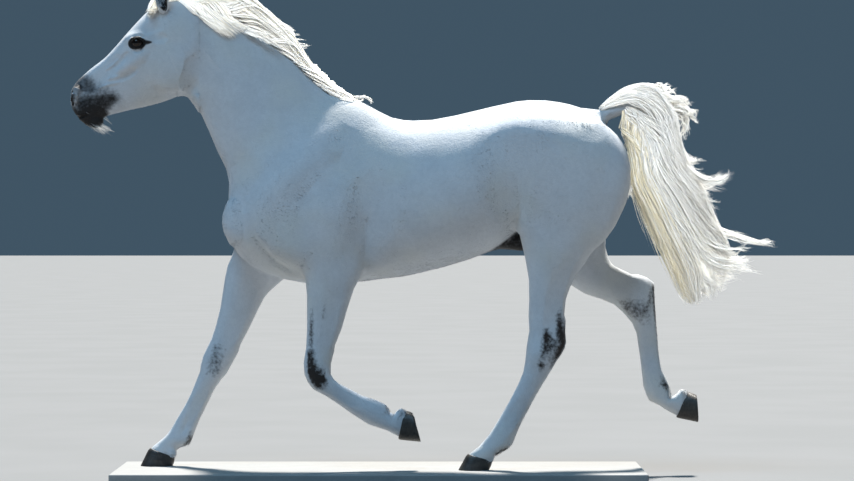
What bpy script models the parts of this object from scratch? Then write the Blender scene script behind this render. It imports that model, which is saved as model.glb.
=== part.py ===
"""A life-size grey horse at the trot, on a base. The horse is worked as a distance field, like clay, then
meshed, thinned and parted with thin cuts. Metres, +Z up. It faces -X and its left side is towards -Y.
The origin is the middle of the base's underside."""

from math import cos, hypot, pi, sin

import bmesh
import bpy
import numpy as np
import openvdb as vdb

# ---------------------------------------------------------------- driving sizes
BASE_LENGTH = 2.10
BASE_WIDTH = 0.74
BASE_THICKNESS = 0.035
BASE_BEVEL = 0.006
GAP = 0.0003                      # between pieces that touch
LOOSE_GAP = 0.001                 # round the ears and hair, which sit on curved solids
ORIGIN_X = -0.08                  # the base's middle, along the horse
BLOCK_HALF_Y = 0.3                # half width of the blocks that cuts are made with

BODY_VOXEL = 0.004                # finest detail of each field
EAR_VOXEL = 0.0025
HAIR_VOXEL = 0.006
BODY_TRIANGLES = 3400             # what each mesh is thinned to
HEAD_SHARE = 0.94                 # how readily the head is thinned, next to the rest
HEAD_FRONT_OF = -0.90             # where the head's finer mesh begins
EAR_TRIANGLES = 180
MANE_TRIANGLES = 540
FORELOCK_TRIANGLES = 130
TAIL_TRIANGLES = 620
# ---------------------------------------------------------------- clay: a distance field worked by hand
AROUND = 32                       # points round a loft's ring
STEPS = 4                         # rings between two stations


class Clay:
    """Signed distances on a regular grid. Lofts are joined to it or carved from it with soft edges."""

    def __init__(self, low, high, voxel, reach):
        self.low = np.array(low, float)
        self.voxel = voxel
        self.reach = reach
        self.shape = np.ceil((np.array(high) - self.low) / voxel).astype(int) + 1
        self.field = np.full(self.shape, reach, np.float32)

    def block_of(self, loft):
        """The part of the grid that a closed loft reaches, as slices, and its distances there."""
        points, triangles = loft
        scale = vdb.createLinearTransform(voxelSize=self.voxel)
        grid = vdb.FloatGrid.createLevelSetFromPolygons(
            np.ascontiguousarray(points - self.low, np.float32),
            triangles=np.ascontiguousarray(triangles, np.uint32),
            transform=scale,
            halfWidth=self.reach / self.voxel,
        )
        first, last = (np.array(corner) for corner in grid.evalActiveVoxelBoundingBox())
        first = np.clip(first, 0, self.shape)
        last = np.clip(last + 1, 0, self.shape)
        block = np.empty(last - first, np.float32)
        grid.copyToArray(block, ijk=tuple(int(n) for n in first))
        return tuple(slice(a, b) for a, b in zip(first, last)), np.clip(block, -self.reach, self.reach)

    def add(self, loft, blend=0.02):
        """Joins a loft, with a fillet about blend wide where it meets what is there."""
        where, new = self.block_of(loft)
        old = self.field[where]
        soft = np.maximum(blend - np.abs(old - new), 0) ** 2 / (4 * blend)
        soft[new > self.reach * 0.99] = 0
        self.field[where] = np.minimum(old, new) - soft

    def carve(self, loft, blend=0.02):
        """Cuts a loft away, with edges rounded over about blend."""
        where, new = self.block_of(loft)
        old = self.field[where]
        soft = np.maximum(blend - np.abs(old + new), 0) ** 2 / (4 * blend)
        soft[new > self.reach * 0.99] = 0
        self.field[where] = np.maximum(old, -new) + soft

    def relax(self, times=1):
        """Evens the field out over about a voxel, which takes the edge off small creases."""
        for _ in range(times):
            for axis in range(3):
                ahead = np.roll(self.field, -1, axis)
                behind = np.roll(self.field, 1, axis)
                self.field = (behind + 2 * self.field + ahead) / 4

    def surface(self, inset=0.0):
        """(points, quads) of the surface, inset metres inside the clay."""
        grid = vdb.FloatGrid(self.reach)
        grid.copyFromArray(self.field)
        points, quads = grid.convertToQuads(isovalue=-inset)
        return np.asarray(points) * self.voxel + self.low, np.asarray(quads)


def curve_through(rows, steps=STEPS):
    """Rows of numbers with steps more between each two, on a smooth curve through them all."""
    rows = np.array(rows, float)
    ends = np.vstack([2 * rows[0] - rows[1], rows, 2 * rows[-1] - rows[-2]])
    made = []
    for k in range(len(rows) - 1):
        before, start, end, after = ends[k : k + 4]
        for t in np.arange(steps) / steps:
            made.append(
                (2 * start + (end - before) * t
                 + (2 * before - 5 * start + 4 * end - after) * t**2
                 + (3 * start - before - 3 * end + after) * t**3) / 2
            )
    return np.array(made + [rows[-1]])


def skin_over(rings):
    """(points, triangles) of the closed surface through equal rings, its ends closed by fans."""
    count, around = len(rings), len(rings[0])
    points = np.vstack([*rings, [rings[0].mean(0)], [rings[-1].mean(0)]])
    here = np.arange(around)
    ahead = (here + 1) % around
    triangles = []
    for k in range(count - 1):
        a, b = k * around, (k + 1) * around
        triangles.append(np.stack([a + here, a + ahead, b + here], 1))
        triangles.append(np.stack([a + ahead, b + ahead, b + here], 1))
    first, last = count * around, count * around + 1
    triangles.append(np.stack([np.full(around, first), ahead, here], 1))
    top = (count - 1) * around
    triangles.append(np.stack([np.full(around, last), top + here, top + ahead], 1))
    return points, np.vstack(triangles)


def oval(angle, power):
    """Both coordinates of a superellipse of that power at an angle."""
    up, out = np.cos(angle), np.sin(angle)
    return np.sign(up) * np.abs(up) ** (2 / power), np.sign(out) * np.abs(out) ** (2 / power)


def body_loft(rows, y=0.0, sides=72, steps=6):
    """A loft through sections across the body. Each row is the section's top (x, z), its bottom (x, z), its
    half width, how far up its widest place is (from -1 to 1), and how square it is above and below that."""
    angle = np.linspace(0, 2 * pi, sides, endpoint=False)
    rings = []
    for top_x, top_z, low_x, low_z, half_width, widest, above, below in curve_through(rows, steps):
        half = np.array([top_x - low_x, 0, top_z - low_z]) / 2
        middle = np.array([top_x + low_x, 2 * y, top_z + low_z]) / 2 + widest * half
        power = np.where(np.cos(angle) > 0, above, below)
        up, out = oval(angle, power)
        up = up * np.where(up > 0, 1 - widest, 1 + widest)
        rings.append(middle + np.outer(up, half) + np.outer(out * half_width, (0, 1, 0)))
    return skin_over(rings)


def limb_loft(rows, y_top, y_low, square=2.2):
    """A loft down a leg. Each row is the front of a section (x, z), its back (x, z) and its half width."""
    angle = np.linspace(0, 2 * pi, AROUND, endpoint=False)
    up, out = oval(angle, square)
    rings = []
    stations = curve_through(rows)
    for k, (front_x, front_z, back_x, back_z, half_width) in enumerate(stations):
        y = y_top + (y_low - y_top) * k / (len(stations) - 1)
        half = np.array([front_x - back_x, 0, front_z - back_z]) / 2
        middle = np.array([front_x + back_x, 2 * y, front_z + back_z]) / 2
        rings.append(middle + np.outer(up, half) + np.outer(out * half_width, (0, 1, 0)))
    return skin_over(rings)


def strand(rows, square=2.0, sides=AROUND):
    """A rounded strand along a path, for a muscle, a bone or a fold. Each row is a point (x, y, z), the half
    depth in the horse's own plane and the half thickness across it."""
    angle = np.linspace(0, 2 * pi, sides, endpoint=False)
    up, out = oval(angle, square)
    stations = curve_through(rows)
    path = stations[:, :3]
    along = np.gradient(path, axis=0)
    along /= np.linalg.norm(along, axis=1)[:, None]
    length = np.linspace(0, 1, len(path))
    tip = np.sqrt(np.clip(1 - (2 * np.clip(np.abs(length - 0.5), 0.35, 0.5) - 0.7) ** 2 / 0.09, 0.02, 1))
    rings = []
    for point, way, depth, thick, round_off in zip(path, along, stations[:, 3], stations[:, 4], tip):
        deep = np.cross(way, (0, 1, 0))
        deep /= np.linalg.norm(deep)
        across = np.cross(deep, way)
        rings.append(point + round_off * (np.outer(up * depth, deep) + np.outer(out * thick, across)))
    return skin_over(rings)


def pebble(middle, radii):
    """An ellipsoid, given its half sizes along x, y and z."""
    turn = np.linspace(0, pi, 13)
    angle = np.linspace(0, 2 * pi, 24, endpoint=False)
    rings = []
    for t in turn:
        wide = max(sin(t), 0.01)
        ring = np.stack([wide * np.cos(angle), wide * np.sin(angle), np.full(24, cos(t))], 1)
        rings.append(np.array(middle) + ring * np.array(radii))
    return skin_over(rings[::-1])


def mirrored(rows, side):
    """Rows of a strand with y turned to that side: -1 is the horse's left, 1 its right."""
    return [(x, side * y, z, *sizes) for x, y, z, *sizes in rows]


# ---------------------------------------------------------------- the horse, in metres above the ground
# The head points to -X and the left side to -Y. Top and bottom, or front and back, of each section.
TRUNK = (
    (-0.684, 1.008, -0.682, 0.928, 0.050, 0.00, 2.0, 2.0),   # front of the breast
    (-0.656, 1.096, -0.654, 0.852, 0.105, -0.05, 2.0, 2.0),
    (-0.600, 1.192, -0.600, 0.800, 0.150, -0.10, 1.9, 2.0),  # points of the shoulders
    (-0.500, 1.304, -0.500, 0.752, 0.180, -0.15, 1.8, 2.0),
    (-0.388, 1.384, -0.380, 0.726, 0.190, -0.20, 1.65, 2.0),
    (-0.272, 1.428, -0.272, 0.724, 0.198, -0.20, 1.55, 2.0),
    (-0.168, 1.441, -0.160, 0.732, 0.208, -0.20, 1.55, 2.0),  # withers
    (-0.080, 1.409, -0.080, 0.742, 0.226, -0.15, 1.7, 2.0),   # girth
    (0.000, 1.382, 0.000, 0.751, 0.248, -0.10, 1.9, 2.05),
    (0.100, 1.379, 0.100, 0.772, 0.270, -0.10, 2.0, 2.1),
    (0.200, 1.394, 0.200, 0.798, 0.282, -0.08, 2.05, 2.1),    # widest ribs
    (0.300, 1.417, 0.300, 0.830, 0.280, -0.05, 2.05, 2.1),
    (0.400, 1.440, 0.392, 0.868, 0.264, 0.00, 2.0, 2.1),      # loins
    (0.488, 1.457, 0.464, 0.924, 0.250, 0.00, 1.9, 2.0),
    (0.580, 1.458, 0.540, 0.968, 0.240, 0.00, 1.85, 2.0),     # croup
    (0.660, 1.447, 0.608, 0.984, 0.228, 0.00, 1.85, 2.0),
    (0.736, 1.424, 0.688, 1.000, 0.200, 0.00, 1.85, 2.0),
    (0.796, 1.400, 0.768, 1.036, 0.155, 0.00, 1.9, 2.0),
    (0.832, 1.350, 0.824, 1.088, 0.100, 0.00, 2.0, 2.0),
    (0.856, 1.290, 0.852, 1.170, 0.050, 0.00, 2.0, 2.0),      # under the tail
)
NECK = (
    (-0.928, 1.846, -0.864, 1.510, 0.056, 0.00, 2.0, 2.0),    # poll and throat
    (-0.840, 1.856, -0.852, 1.488, 0.067, -0.10, 1.8, 2.0),
    (-0.740, 1.826, -0.840, 1.468, 0.071, -0.10, 1.7, 2.0),
    (-0.640, 1.776, -0.820, 1.440, 0.074, -0.15, 1.6, 2.0),
    (-0.552, 1.716, -0.796, 1.400, 0.076, -0.15, 1.6, 2.0),
    (-0.460, 1.648, -0.768, 1.340, 0.083, -0.15, 1.55, 2.0),
    (-0.388, 1.584, -0.736, 1.264, 0.094, -0.15, 1.55, 2.0),
    (-0.320, 1.520, -0.694, 1.176, 0.111, -0.20, 1.55, 2.0),
    (-0.240, 1.464, -0.666, 1.076, 0.134, -0.20, 1.55, 2.0),
    (-0.152, 1.416, -0.646, 0.956, 0.150, -0.20, 1.7, 2.0),
    (-0.088, 1.336, -0.568, 0.856, 0.135, -0.20, 1.9, 2.0),   # buried in the breast
)
HEAD = (
    (-0.890, 1.846, -0.812, 1.656, 0.045, 0.00, 2.0, 2.0),    # behind the ears
    (-0.940, 1.850, -0.804, 1.592, 0.064, 0.10, 2.0, 2.0),
    (-0.980, 1.836, -0.808, 1.536, 0.074, 0.15, 2.0, 2.0),
    (-1.016, 1.808, -0.840, 1.496, 0.081, 0.25, 2.2, 2.0),
    (-1.060, 1.762, -0.896, 1.470, 0.084, 0.30, 2.4, 2.0),    # brow and jowl
    (-1.104, 1.713, -0.956, 1.448, 0.078, 0.30, 2.4, 2.0),
    (-1.144, 1.667, -1.016, 1.432, 0.064, 0.20, 2.3, 2.0),
    (-1.184, 1.626, -1.072, 1.420, 0.054, 0.10, 2.2, 2.0),    # dish of the face
    (-1.228, 1.592, -1.120, 1.408, 0.047, 0.05, 2.2, 2.0),
    (-1.264, 1.562, -1.160, 1.398, 0.043, 0.00, 2.2, 2.0),
    (-1.296, 1.530, -1.196, 1.382, 0.042, 0.00, 2.2, 2.0),
    (-1.315, 1.496, -1.228, 1.368, 0.042, 0.00, 2.2, 2.0),    # nostrils
    (-1.320, 1.458, -1.256, 1.362, 0.036, 0.00, 2.1, 2.0),
    (-1.312, 1.424, -1.280, 1.376, 0.024, 0.00, 2.0, 2.0),    # upper lip
)
FORE_LEFT = (                                                 # folded under the breast
    (-0.545, 1.007, -0.197, 1.054, 0.062),
    (-0.474, 0.884, -0.149, 0.884, 0.070),
    (-0.390, 0.785, -0.149, 0.773, 0.066),                    # elbow
    (-0.371, 0.698, -0.181, 0.702, 0.057),
    (-0.369, 0.619, -0.207, 0.619, 0.050),
    (-0.369, 0.540, -0.231, 0.540, 0.044),
    (-0.374, 0.465, -0.259, 0.469, 0.039),
    (-0.379, 0.405, -0.277, 0.417, 0.040),                    # knee
    (-0.373, 0.354, -0.276, 0.378, 0.042),
    (-0.347, 0.310, -0.264, 0.354, 0.040),
    (-0.299, 0.283, -0.240, 0.332, 0.033),
    (-0.252, 0.253, -0.195, 0.309, 0.028),
    (-0.197, 0.214, -0.145, 0.283, 0.026),
    (-0.147, 0.180, -0.092, 0.267, 0.030),
    (-0.114, 0.164, -0.052, 0.245, 0.034),                    # fetlock
    (-0.080, 0.153, -0.039, 0.218, 0.031),
    (-0.044, 0.140, -0.023, 0.210, 0.0285),
    (-0.003, 0.119, 0.005, 0.229, 0.034),                     # coronet
)
FORE_RIGHT = (                                                # reaching forward, on the ground
    (-0.648, 1.009, -0.365, 1.038, 0.062),
    (-0.672, 0.864, -0.422, 0.807, 0.066),
    (-0.701, 0.791, -0.482, 0.730, 0.060),
    (-0.713, 0.718, -0.537, 0.680, 0.053),
    (-0.725, 0.641, -0.571, 0.621, 0.048),
    (-0.743, 0.564, -0.608, 0.544, 0.043),
    (-0.767, 0.493, -0.648, 0.471, 0.039),
    (-0.796, 0.429, -0.683, 0.407, 0.040),                    # knee
    (-0.809, 0.374, -0.710, 0.354, 0.041),
    (-0.832, 0.312, -0.751, 0.293, 0.034),
    (-0.865, 0.243, -0.783, 0.225, 0.028),
    (-0.901, 0.182, -0.814, 0.162, 0.027),
    (-0.929, 0.134, -0.832, 0.112, 0.032),
    (-0.953, 0.105, -0.846, 0.079, 0.035),                    # fetlock
    (-0.982, 0.081, -0.887, 0.061, 0.031),
    (-1.010, 0.055, -0.921, 0.035, 0.036),                    # coronet
)
HIND_LEFT = (                                                 # under the body, on the ground
    (0.428, 1.378, 0.784, 1.362, 0.055),
    (0.397, 1.291, 0.855, 1.283, 0.085),
    (0.408, 1.192, 0.895, 1.200, 0.105),
    (0.428, 1.094, 0.889, 1.086, 0.112),
    (0.460, 0.979, 0.844, 0.995, 0.106),                      # stifle and buttock
    (0.479, 0.898, 0.790, 0.912, 0.092),
    (0.497, 0.817, 0.744, 0.821, 0.077),
    (0.509, 0.742, 0.691, 0.742, 0.062),
    (0.511, 0.671, 0.663, 0.675, 0.052),
    (0.509, 0.603, 0.653, 0.600, 0.046),
    (0.511, 0.544, 0.652, 0.532, 0.044),
    (0.502, 0.479, 0.654, 0.473, 0.046),                      # hock
    (0.495, 0.418, 0.620, 0.414, 0.042),
    (0.485, 0.368, 0.586, 0.358, 0.034),
    (0.462, 0.319, 0.543, 0.287, 0.030),
    (0.414, 0.230, 0.491, 0.190, 0.0265),
    (0.375, 0.163, 0.468, 0.143, 0.030),
    (0.339, 0.111, 0.444, 0.086, 0.036),                      # fetlock
    (0.308, 0.078, 0.395, 0.056, 0.031),
    (0.272, 0.050, 0.363, 0.036, 0.037),                      # coronet
)
HIND_RIGHT = (                                                # pushed off behind
    (0.464, 1.390, 0.808, 1.374, 0.055),
    (0.436, 1.301, 0.860, 1.293, 0.085),
    (0.452, 1.200, 0.880, 1.208, 0.103),
    (0.484, 1.098, 0.868, 1.098, 0.110),
    (0.525, 0.969, 0.852, 1.009, 0.106),
    (0.569, 0.847, 0.832, 0.928, 0.095),
    (0.626, 0.762, 0.832, 0.864, 0.082),
    (0.691, 0.714, 0.853, 0.807, 0.069),
    (0.755, 0.677, 0.905, 0.777, 0.058),
    (0.816, 0.657, 0.954, 0.756, 0.050),
    (0.865, 0.635, 0.998, 0.742, 0.046),
    (0.905, 0.599, 1.025, 0.718, 0.047),                      # hock
    (0.934, 0.566, 1.030, 0.653, 0.045),
    (0.952, 0.526, 1.035, 0.584, 0.038),
    (0.960, 0.477, 1.041, 0.508, 0.031),
    (0.968, 0.423, 1.046, 0.435, 0.028),
    (0.975, 0.366, 1.059, 0.376, 0.0295),
    (0.983, 0.305, 1.087, 0.317, 0.034),                      # fetlock
    (1.002, 0.253, 1.093, 0.283, 0.034),
    (1.041, 0.232, 1.097, 0.265, 0.030),
    (1.079, 0.208, 1.114, 0.275, 0.031),
    (1.121, 0.187, 1.144, 0.289, 0.037),                      # coronet
)
DOCK = (
    (0.744, 1.418, 0.752, 1.336, 0.045, 0, 2, 2),
    (0.792, 1.420, 0.808, 1.368, 0.036, 0, 2, 2),
    (0.832, 1.436, 0.848, 1.384, 0.031, 0, 2, 2),
    (0.888, 1.454, 0.896, 1.400, 0.028, 0, 2, 2),
    (0.944, 1.458, 0.944, 1.408, 0.025, 0, 2, 2),
    (0.996, 1.444, 0.980, 1.396, 0.022, 0, 2, 2),
    (1.036, 1.408, 1.004, 1.368, 0.018, 0, 2, 2),
    (1.056, 1.360, 1.028, 1.344, 0.012, 0, 2, 2),
)
LEGS = {                                                      # rows, side, y at the top and at the foot
    "foreleg_left": (FORE_LEFT, -1, 0.125, 0.125),
    "foreleg_right": (FORE_RIGHT, 1, 0.125, 0.115),
    "hindleg_left": (HIND_LEFT, -1, 0.130, 0.125),
    "hindleg_right": (HIND_RIGHT, 1, 0.130, 0.140),
}
HOOVES = {                                  # coronet to sole: front (x, z), back (x, z), half width
    "foreleg_left": (
        (-0.006, 0.112, 0.018, 0.220, 0.039),
        (0.004, 0.107, 0.026, 0.222, 0.043),
        (0.041, 0.103, 0.039, 0.220, 0.048),
        (0.084, 0.099, 0.051, 0.214, 0.053),
    ),
    "foreleg_right": (
        (-1.008, 0.060, -0.914, 0.026, 0.039),
        (-1.018, 0.050, -0.910, 0.018, 0.043),
        (-1.034, 0.018, -0.912, 0.002, 0.050),
        (-1.049, -0.012, -0.918, -0.012, 0.054),
    ),
    "hindleg_left": (
        (0.270, 0.052, 0.364, 0.026, 0.038),
        (0.261, 0.042, 0.366, 0.017, 0.042),
        (0.246, 0.014, 0.361, 0.001, 0.048),
        (0.231, -0.012, 0.353, -0.012, 0.052),
    ),
    "hindleg_right": (
        (1.116, 0.182, 1.154, 0.284, 0.038),
        (1.127, 0.178, 1.162, 0.285, 0.042),
        (1.166, 0.170, 1.180, 0.280, 0.047),
        (1.204, 0.162, 1.197, 0.273, 0.051),
    ),
}
SOLE_Z = -0.012                             # level of the two soles on the ground, in these heights
CREST = (                                   # top of the neck, where the mane is rooted
    (-0.952, 1.846), (-0.900, 1.856), (-0.840, 1.858), (-0.740, 1.828), (-0.640, 1.778), (-0.552, 1.720),
    (-0.460, 1.650), (-0.388, 1.586), (-0.320, 1.522), (-0.248, 1.470), (-0.190, 1.446),
)
TAIL = (                                    # outer edge, inner edge and half width of its hair
    (0.812, 1.420, 0.836, 1.386, 0.020, 0, 2, 2),
    (0.846, 1.466, 0.872, 1.394, 0.032, 0, 2, 2),
    (0.908, 1.508, 0.880, 1.372, 0.042, 0, 2, 2),
    (0.972, 1.526, 0.872, 1.346, 0.050, 0, 2, 2),
    (1.036, 1.508, 0.884, 1.318, 0.056, 0, 2, 2),
    (1.092, 1.462, 0.897, 1.290, 0.060, 0, 2, 2),
    (1.122, 1.400, 0.908, 1.255, 0.062, 0, 2, 2),
    (1.132, 1.330, 0.920, 1.220, 0.064, 0, 2, 2),
    (1.138, 1.256, 0.922, 1.170, 0.066, 0, 2, 2),
    (1.165, 1.180, 0.930, 1.110, 0.068, 0, 2, 2),
    (1.198, 1.100, 0.955, 1.050, 0.070, 0, 2, 2),
    (1.222, 1.020, 0.985, 0.980, 0.072, 0, 2, 2),
    (1.248, 0.940, 1.015, 0.905, 0.072, 0, 2, 2),
    (1.280, 0.860, 1.050, 0.820, 0.065, 0, 2, 2),
    (1.285, 0.790, 1.085, 0.755, 0.052, 0, 2, 2),
    (1.262, 0.715, 1.112, 0.690, 0.035, 0, 2, 2),
    (1.235, 0.660, 1.150, 0.648, 0.012, 0, 2, 2),
)
MANE_LIFTS = (0.012, 0.034, 0.050, 0.062, 0.060, 0.054, 0.046, 0.026, 0.020, 0.014, 0.010)  # over the crest
MANE_DEPTHS = (0.018, 0.036, 0.048, 0.056, 0.054, 0.046, 0.040, 0.028, 0.020, 0.014, 0.010)
DOCK_ROOM = 0.005                                             # left round the dock inside the tail's hair
EYE = (-1.044, 0.066, 1.682)
EYE_RADIUS = 0.024
HOOF_SIDES = 20


def shrunk(row, share):
    """A leg's row made smaller about its own middle."""
    front_x, front_z, back_x, back_z, half_width = row
    middle_x, middle_z = (front_x + back_x) / 2, (front_z + back_z) / 2
    half_x, half_z = share * (front_x - back_x) / 2, share * (front_z - back_z) / 2
    return (middle_x + half_x, middle_z + half_z, middle_x - half_x, middle_z - half_z, share * half_width)


def between(rows, k, share, y, off=0.0):
    """The point a share of the way from the front to the back of row k, at y, and off metres further on."""
    front_x, front_z, back_x, back_z, _ = rows[k]
    length = hypot(back_x - front_x, back_z - front_z)
    share += off / length
    return (front_x + share * (back_x - front_x), y, front_z + share * (back_z - front_z))


def unit_way(way):
    return way / np.linalg.norm(way)


def run_down(rows, first, last, share, y, out, depth, thick, off=0.0):
    """A strand down the rows first to last of a leg, out half widths from its middle plane at y."""
    return strand(
        [(*between(rows, k, share, y + out * rows[k][4], off), depth, thick) for k in range(first, last + 1)]
    )


def add_shoulders(clay, side):
    blade = [(-0.25, 0.090, 1.33, 0.05, 0.024), (-0.36, 0.135, 1.20, 0.065, 0.036),
             (-0.47, 0.155, 1.08, 0.065, 0.040), (-0.575, 0.135, 0.975, 0.055, 0.045)]
    triceps = [(-0.22, 0.142, 1.17, 0.06, 0.028), (-0.25, 0.168, 1.05, 0.10, 0.045),
               (-0.27, 0.170, 0.94, 0.11, 0.045), (-0.25, 0.155, 0.83, 0.07, 0.035)]
    arm = [(-0.58, 0.125, 0.96, 0.06, 0.045), (-0.47, 0.150, 0.90, 0.07, 0.045),
           (-0.35, 0.155, 0.84, 0.06, 0.035)]
    clay.add(strand(mirrored(blade, side)), 0.06)
    clay.add(strand(mirrored(triceps, side)), 0.04)
    clay.add(strand(mirrored(arm, side)), 0.05)
    breast = [(-0.64, 0.055, 1.06, 0.04, 0.05), (-0.655, 0.062, 0.97, 0.055, 0.06),
              (-0.62, 0.075, 0.88, 0.05, 0.05)]
    clay.add(strand(mirrored(breast, side)), 0.03)
    behind_elbow = [(-0.110, 0.238, 1.14, 0.030, 0.018), (-0.115, 0.238, 1.03, 0.035, 0.026),
                    (-0.130, 0.222, 0.93, 0.035, 0.028), (-0.150, 0.196, 0.85, 0.030, 0.026),
                    (-0.165, 0.160, 0.78, 0.018, 0.018)]
    clay.carve(strand(mirrored(behind_elbow, side)), 0.09)


def carve_neck(clay, side):
    """The groove of the jugular vein, down the neck to the breast."""
    jugular = [(-0.82, 0.068, 1.50, 0.012, 0.010), (-0.74, 0.094, 1.38, 0.014, 0.012),
               (-0.69, 0.116, 1.26, 0.012, 0.010)]
    clay.carve(strand(mirrored(jugular, side)), 0.04)


def add_haunches(clay, side):
    rump = [(0.44, 0.12, 1.32, 0.05, 0.05), (0.55, 0.145, 1.30, 0.08, 0.06),
            (0.66, 0.155, 1.26, 0.09, 0.065), (0.76, 0.145, 1.20, 0.085, 0.060)]
    ham = [(0.74, 0.095, 1.36, 0.05, 0.05), (0.83, 0.112, 1.25, 0.065, 0.065),
           (0.848, 0.125, 1.13, 0.065, 0.07), (0.805, 0.135, 1.00, 0.065, 0.06),
           (0.73, 0.140, 0.86, 0.05, 0.045)]
    thigh = [(0.53, 0.165, 1.27, 0.07, 0.05), (0.53, 0.175, 1.14, 0.10, 0.055),
             (0.53, 0.160, 1.02, 0.08, 0.05), (0.51, 0.145, 0.93, 0.05, 0.04)]
    if side > 0:                                              # this leg is stretched out behind
        ham = [(x - 0.02, y, z, depth, thick) for x, y, z, depth, thick in ham[:3]]
        thigh = [(x + 0.03, y, z, depth, thick) for x, y, z, depth, thick in thigh]
    clay.add(strand(mirrored(rump, side)), 0.06)
    clay.add(strand(mirrored(ham, side)), 0.04)
    clay.add(strand(mirrored(thigh, side)), 0.06)
    hip = pebble((0.500, side * 0.186, 1.320), (0.08, 0.045, 0.050))
    clay.add(hip, 0.08)
    flank = [(0.385, 0.300, 1.36, 0.05, 0.022), (0.410, 0.302, 1.24, 0.06, 0.026),
             (0.430, 0.292, 1.12, 0.05, 0.028), (0.435, 0.258, 1.02, 0.03, 0.024)]
    clay.carve(strand(mirrored(flank, side)), 0.10)


def add_foreleg(clay, rows, y, knee):
    """Knee, tendons and fetlock of a foreleg; knee is the row at its middle."""
    clay.add(run_down(rows, knee - 1, knee + 1, 0.30, y, 0.1, 0.026, 0.036), 0.02)
    clay.add(run_down(rows, knee - 1, knee + 1, 1.0, y, 0.0, 0.013, 0.014, -0.012), 0.025)
    for out in (-1, 1):
        clay.carve(run_down(rows, knee - 4, knee - 1, 0.62, y, out * 1.12, 0.008, 0.008), 0.03)
        clay.carve(run_down(rows, knee + 2, knee + 5, 0.56, y, out * 1.20, 0.007, 0.009), 0.02)


def add_hindleg(clay, rows, y, hock):
    """Hock, tendons and fetlock of a hind leg; hock is the row at its middle."""
    clay.add(run_down(rows, hock - 2, hock, 1.0, y, 0.0, 0.018, 0.016, -0.016), 0.02)
    clay.add(run_down(rows, hock, hock + 1, 0.35, y, 0.0, 0.030, 0.040), 0.03)
    for out in (-1, 1):
        clay.carve(run_down(rows, hock - 5, hock - 1, 0.70, y, out * 1.15, 0.013, 0.014), 0.04)
        clay.carve(run_down(rows, hock + 3, hock + 5, 0.56, y, out * 1.20, 0.007, 0.009), 0.02)


def add_heels(clay, leg, y):
    """The two soft bulbs above the heels of a hoof."""
    top, lower = (np.array(row) for row in HOOVES[leg][:2])
    up = unit_way(top[:2] + top[2:4] - lower[:2] - lower[2:4])
    back = unit_way(top[2:4] - top[:2])
    x, z = top[2:4] + 0.010 * up - 0.012 * back
    for out in (-1, 1):
        clay.add(pebble((x, y + 0.016 * out, z), (0.021, 0.018, 0.021)), 0.012)


def add_head(clay):
    clay.add(body_loft(HEAD), 0.035)
    chin = pebble((-1.222, 0.0, 1.374), (0.038, 0.026, 0.027))
    clay.add(chin, 0.012)
    for side in (-1, 1):
        cheek = pebble((-0.905, side * 0.052, 1.585), (0.098, 0.032, 0.092))
        clay.add(cheek, 0.03)
        brow = [(-1.085, 0.047, 1.690, 0.014, 0.012), (-1.060, 0.061, 1.699, 0.016, 0.013),
                (-1.020, 0.065, 1.699, 0.016, 0.012), (-0.985, 0.059, 1.687, 0.013, 0.011)]
        clay.add(strand(mirrored(brow, side)), 0.03)
        crest = [(-1.010, 0.074, 1.640, 0.012, 0.010), (-1.070, 0.064, 1.600, 0.012, 0.011),
                 (-1.120, 0.053, 1.570, 0.010, 0.009)]
        clay.add(strand(mirrored(crest, side)), 0.025)
        temple = pebble((-0.985, side * 0.082, 1.745), (0.022, 0.010, 0.018))
        clay.carve(temple, 0.03)
        nose_side = [(-1.130, 0.058, 1.620, 0.020, 0.006), (-1.190, 0.053, 1.560, 0.022, 0.008),
                     (-1.245, 0.050, 1.510, 0.016, 0.006)]
        clay.carve(strand(mirrored(nose_side, side)), 0.03)
        nostril_wing = [(-1.285, 0.034, 1.510, 0.014, 0.012), (-1.298, 0.040, 1.480, 0.017, 0.013),
                        (-1.300, 0.034, 1.445, 0.014, 0.012)]
        clay.add(strand(mirrored(nostril_wing, side)), 0.02)
        nostril = [(-1.303, 0.034, 1.495, 0.005, 0.007), (-1.316, 0.037, 1.472, 0.009, 0.012),
                   (-1.321, 0.028, 1.445, 0.007, 0.010)]
        clay.carve(strand(mirrored(nostril, side)), 0.010)
        lips = [(-1.300, 0.004, 1.391, 0.0045, 0.010), (-1.272, 0.034, 1.390, 0.0045, 0.009),
                (-1.232, 0.043, 1.402, 0.0045, 0.008), (-1.192, 0.046, 1.424, 0.0035, 0.006)]
        clay.carve(strand(mirrored(lips, side)), 0.006)
        throat = [(-0.800, 0.088, 1.610, 0.014, 0.004), (-0.806, 0.088, 1.555, 0.020, 0.008),
                  (-0.832, 0.076, 1.505, 0.014, 0.010)]
        clay.carve(strand(mirrored(throat, side)), 0.06)


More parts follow.
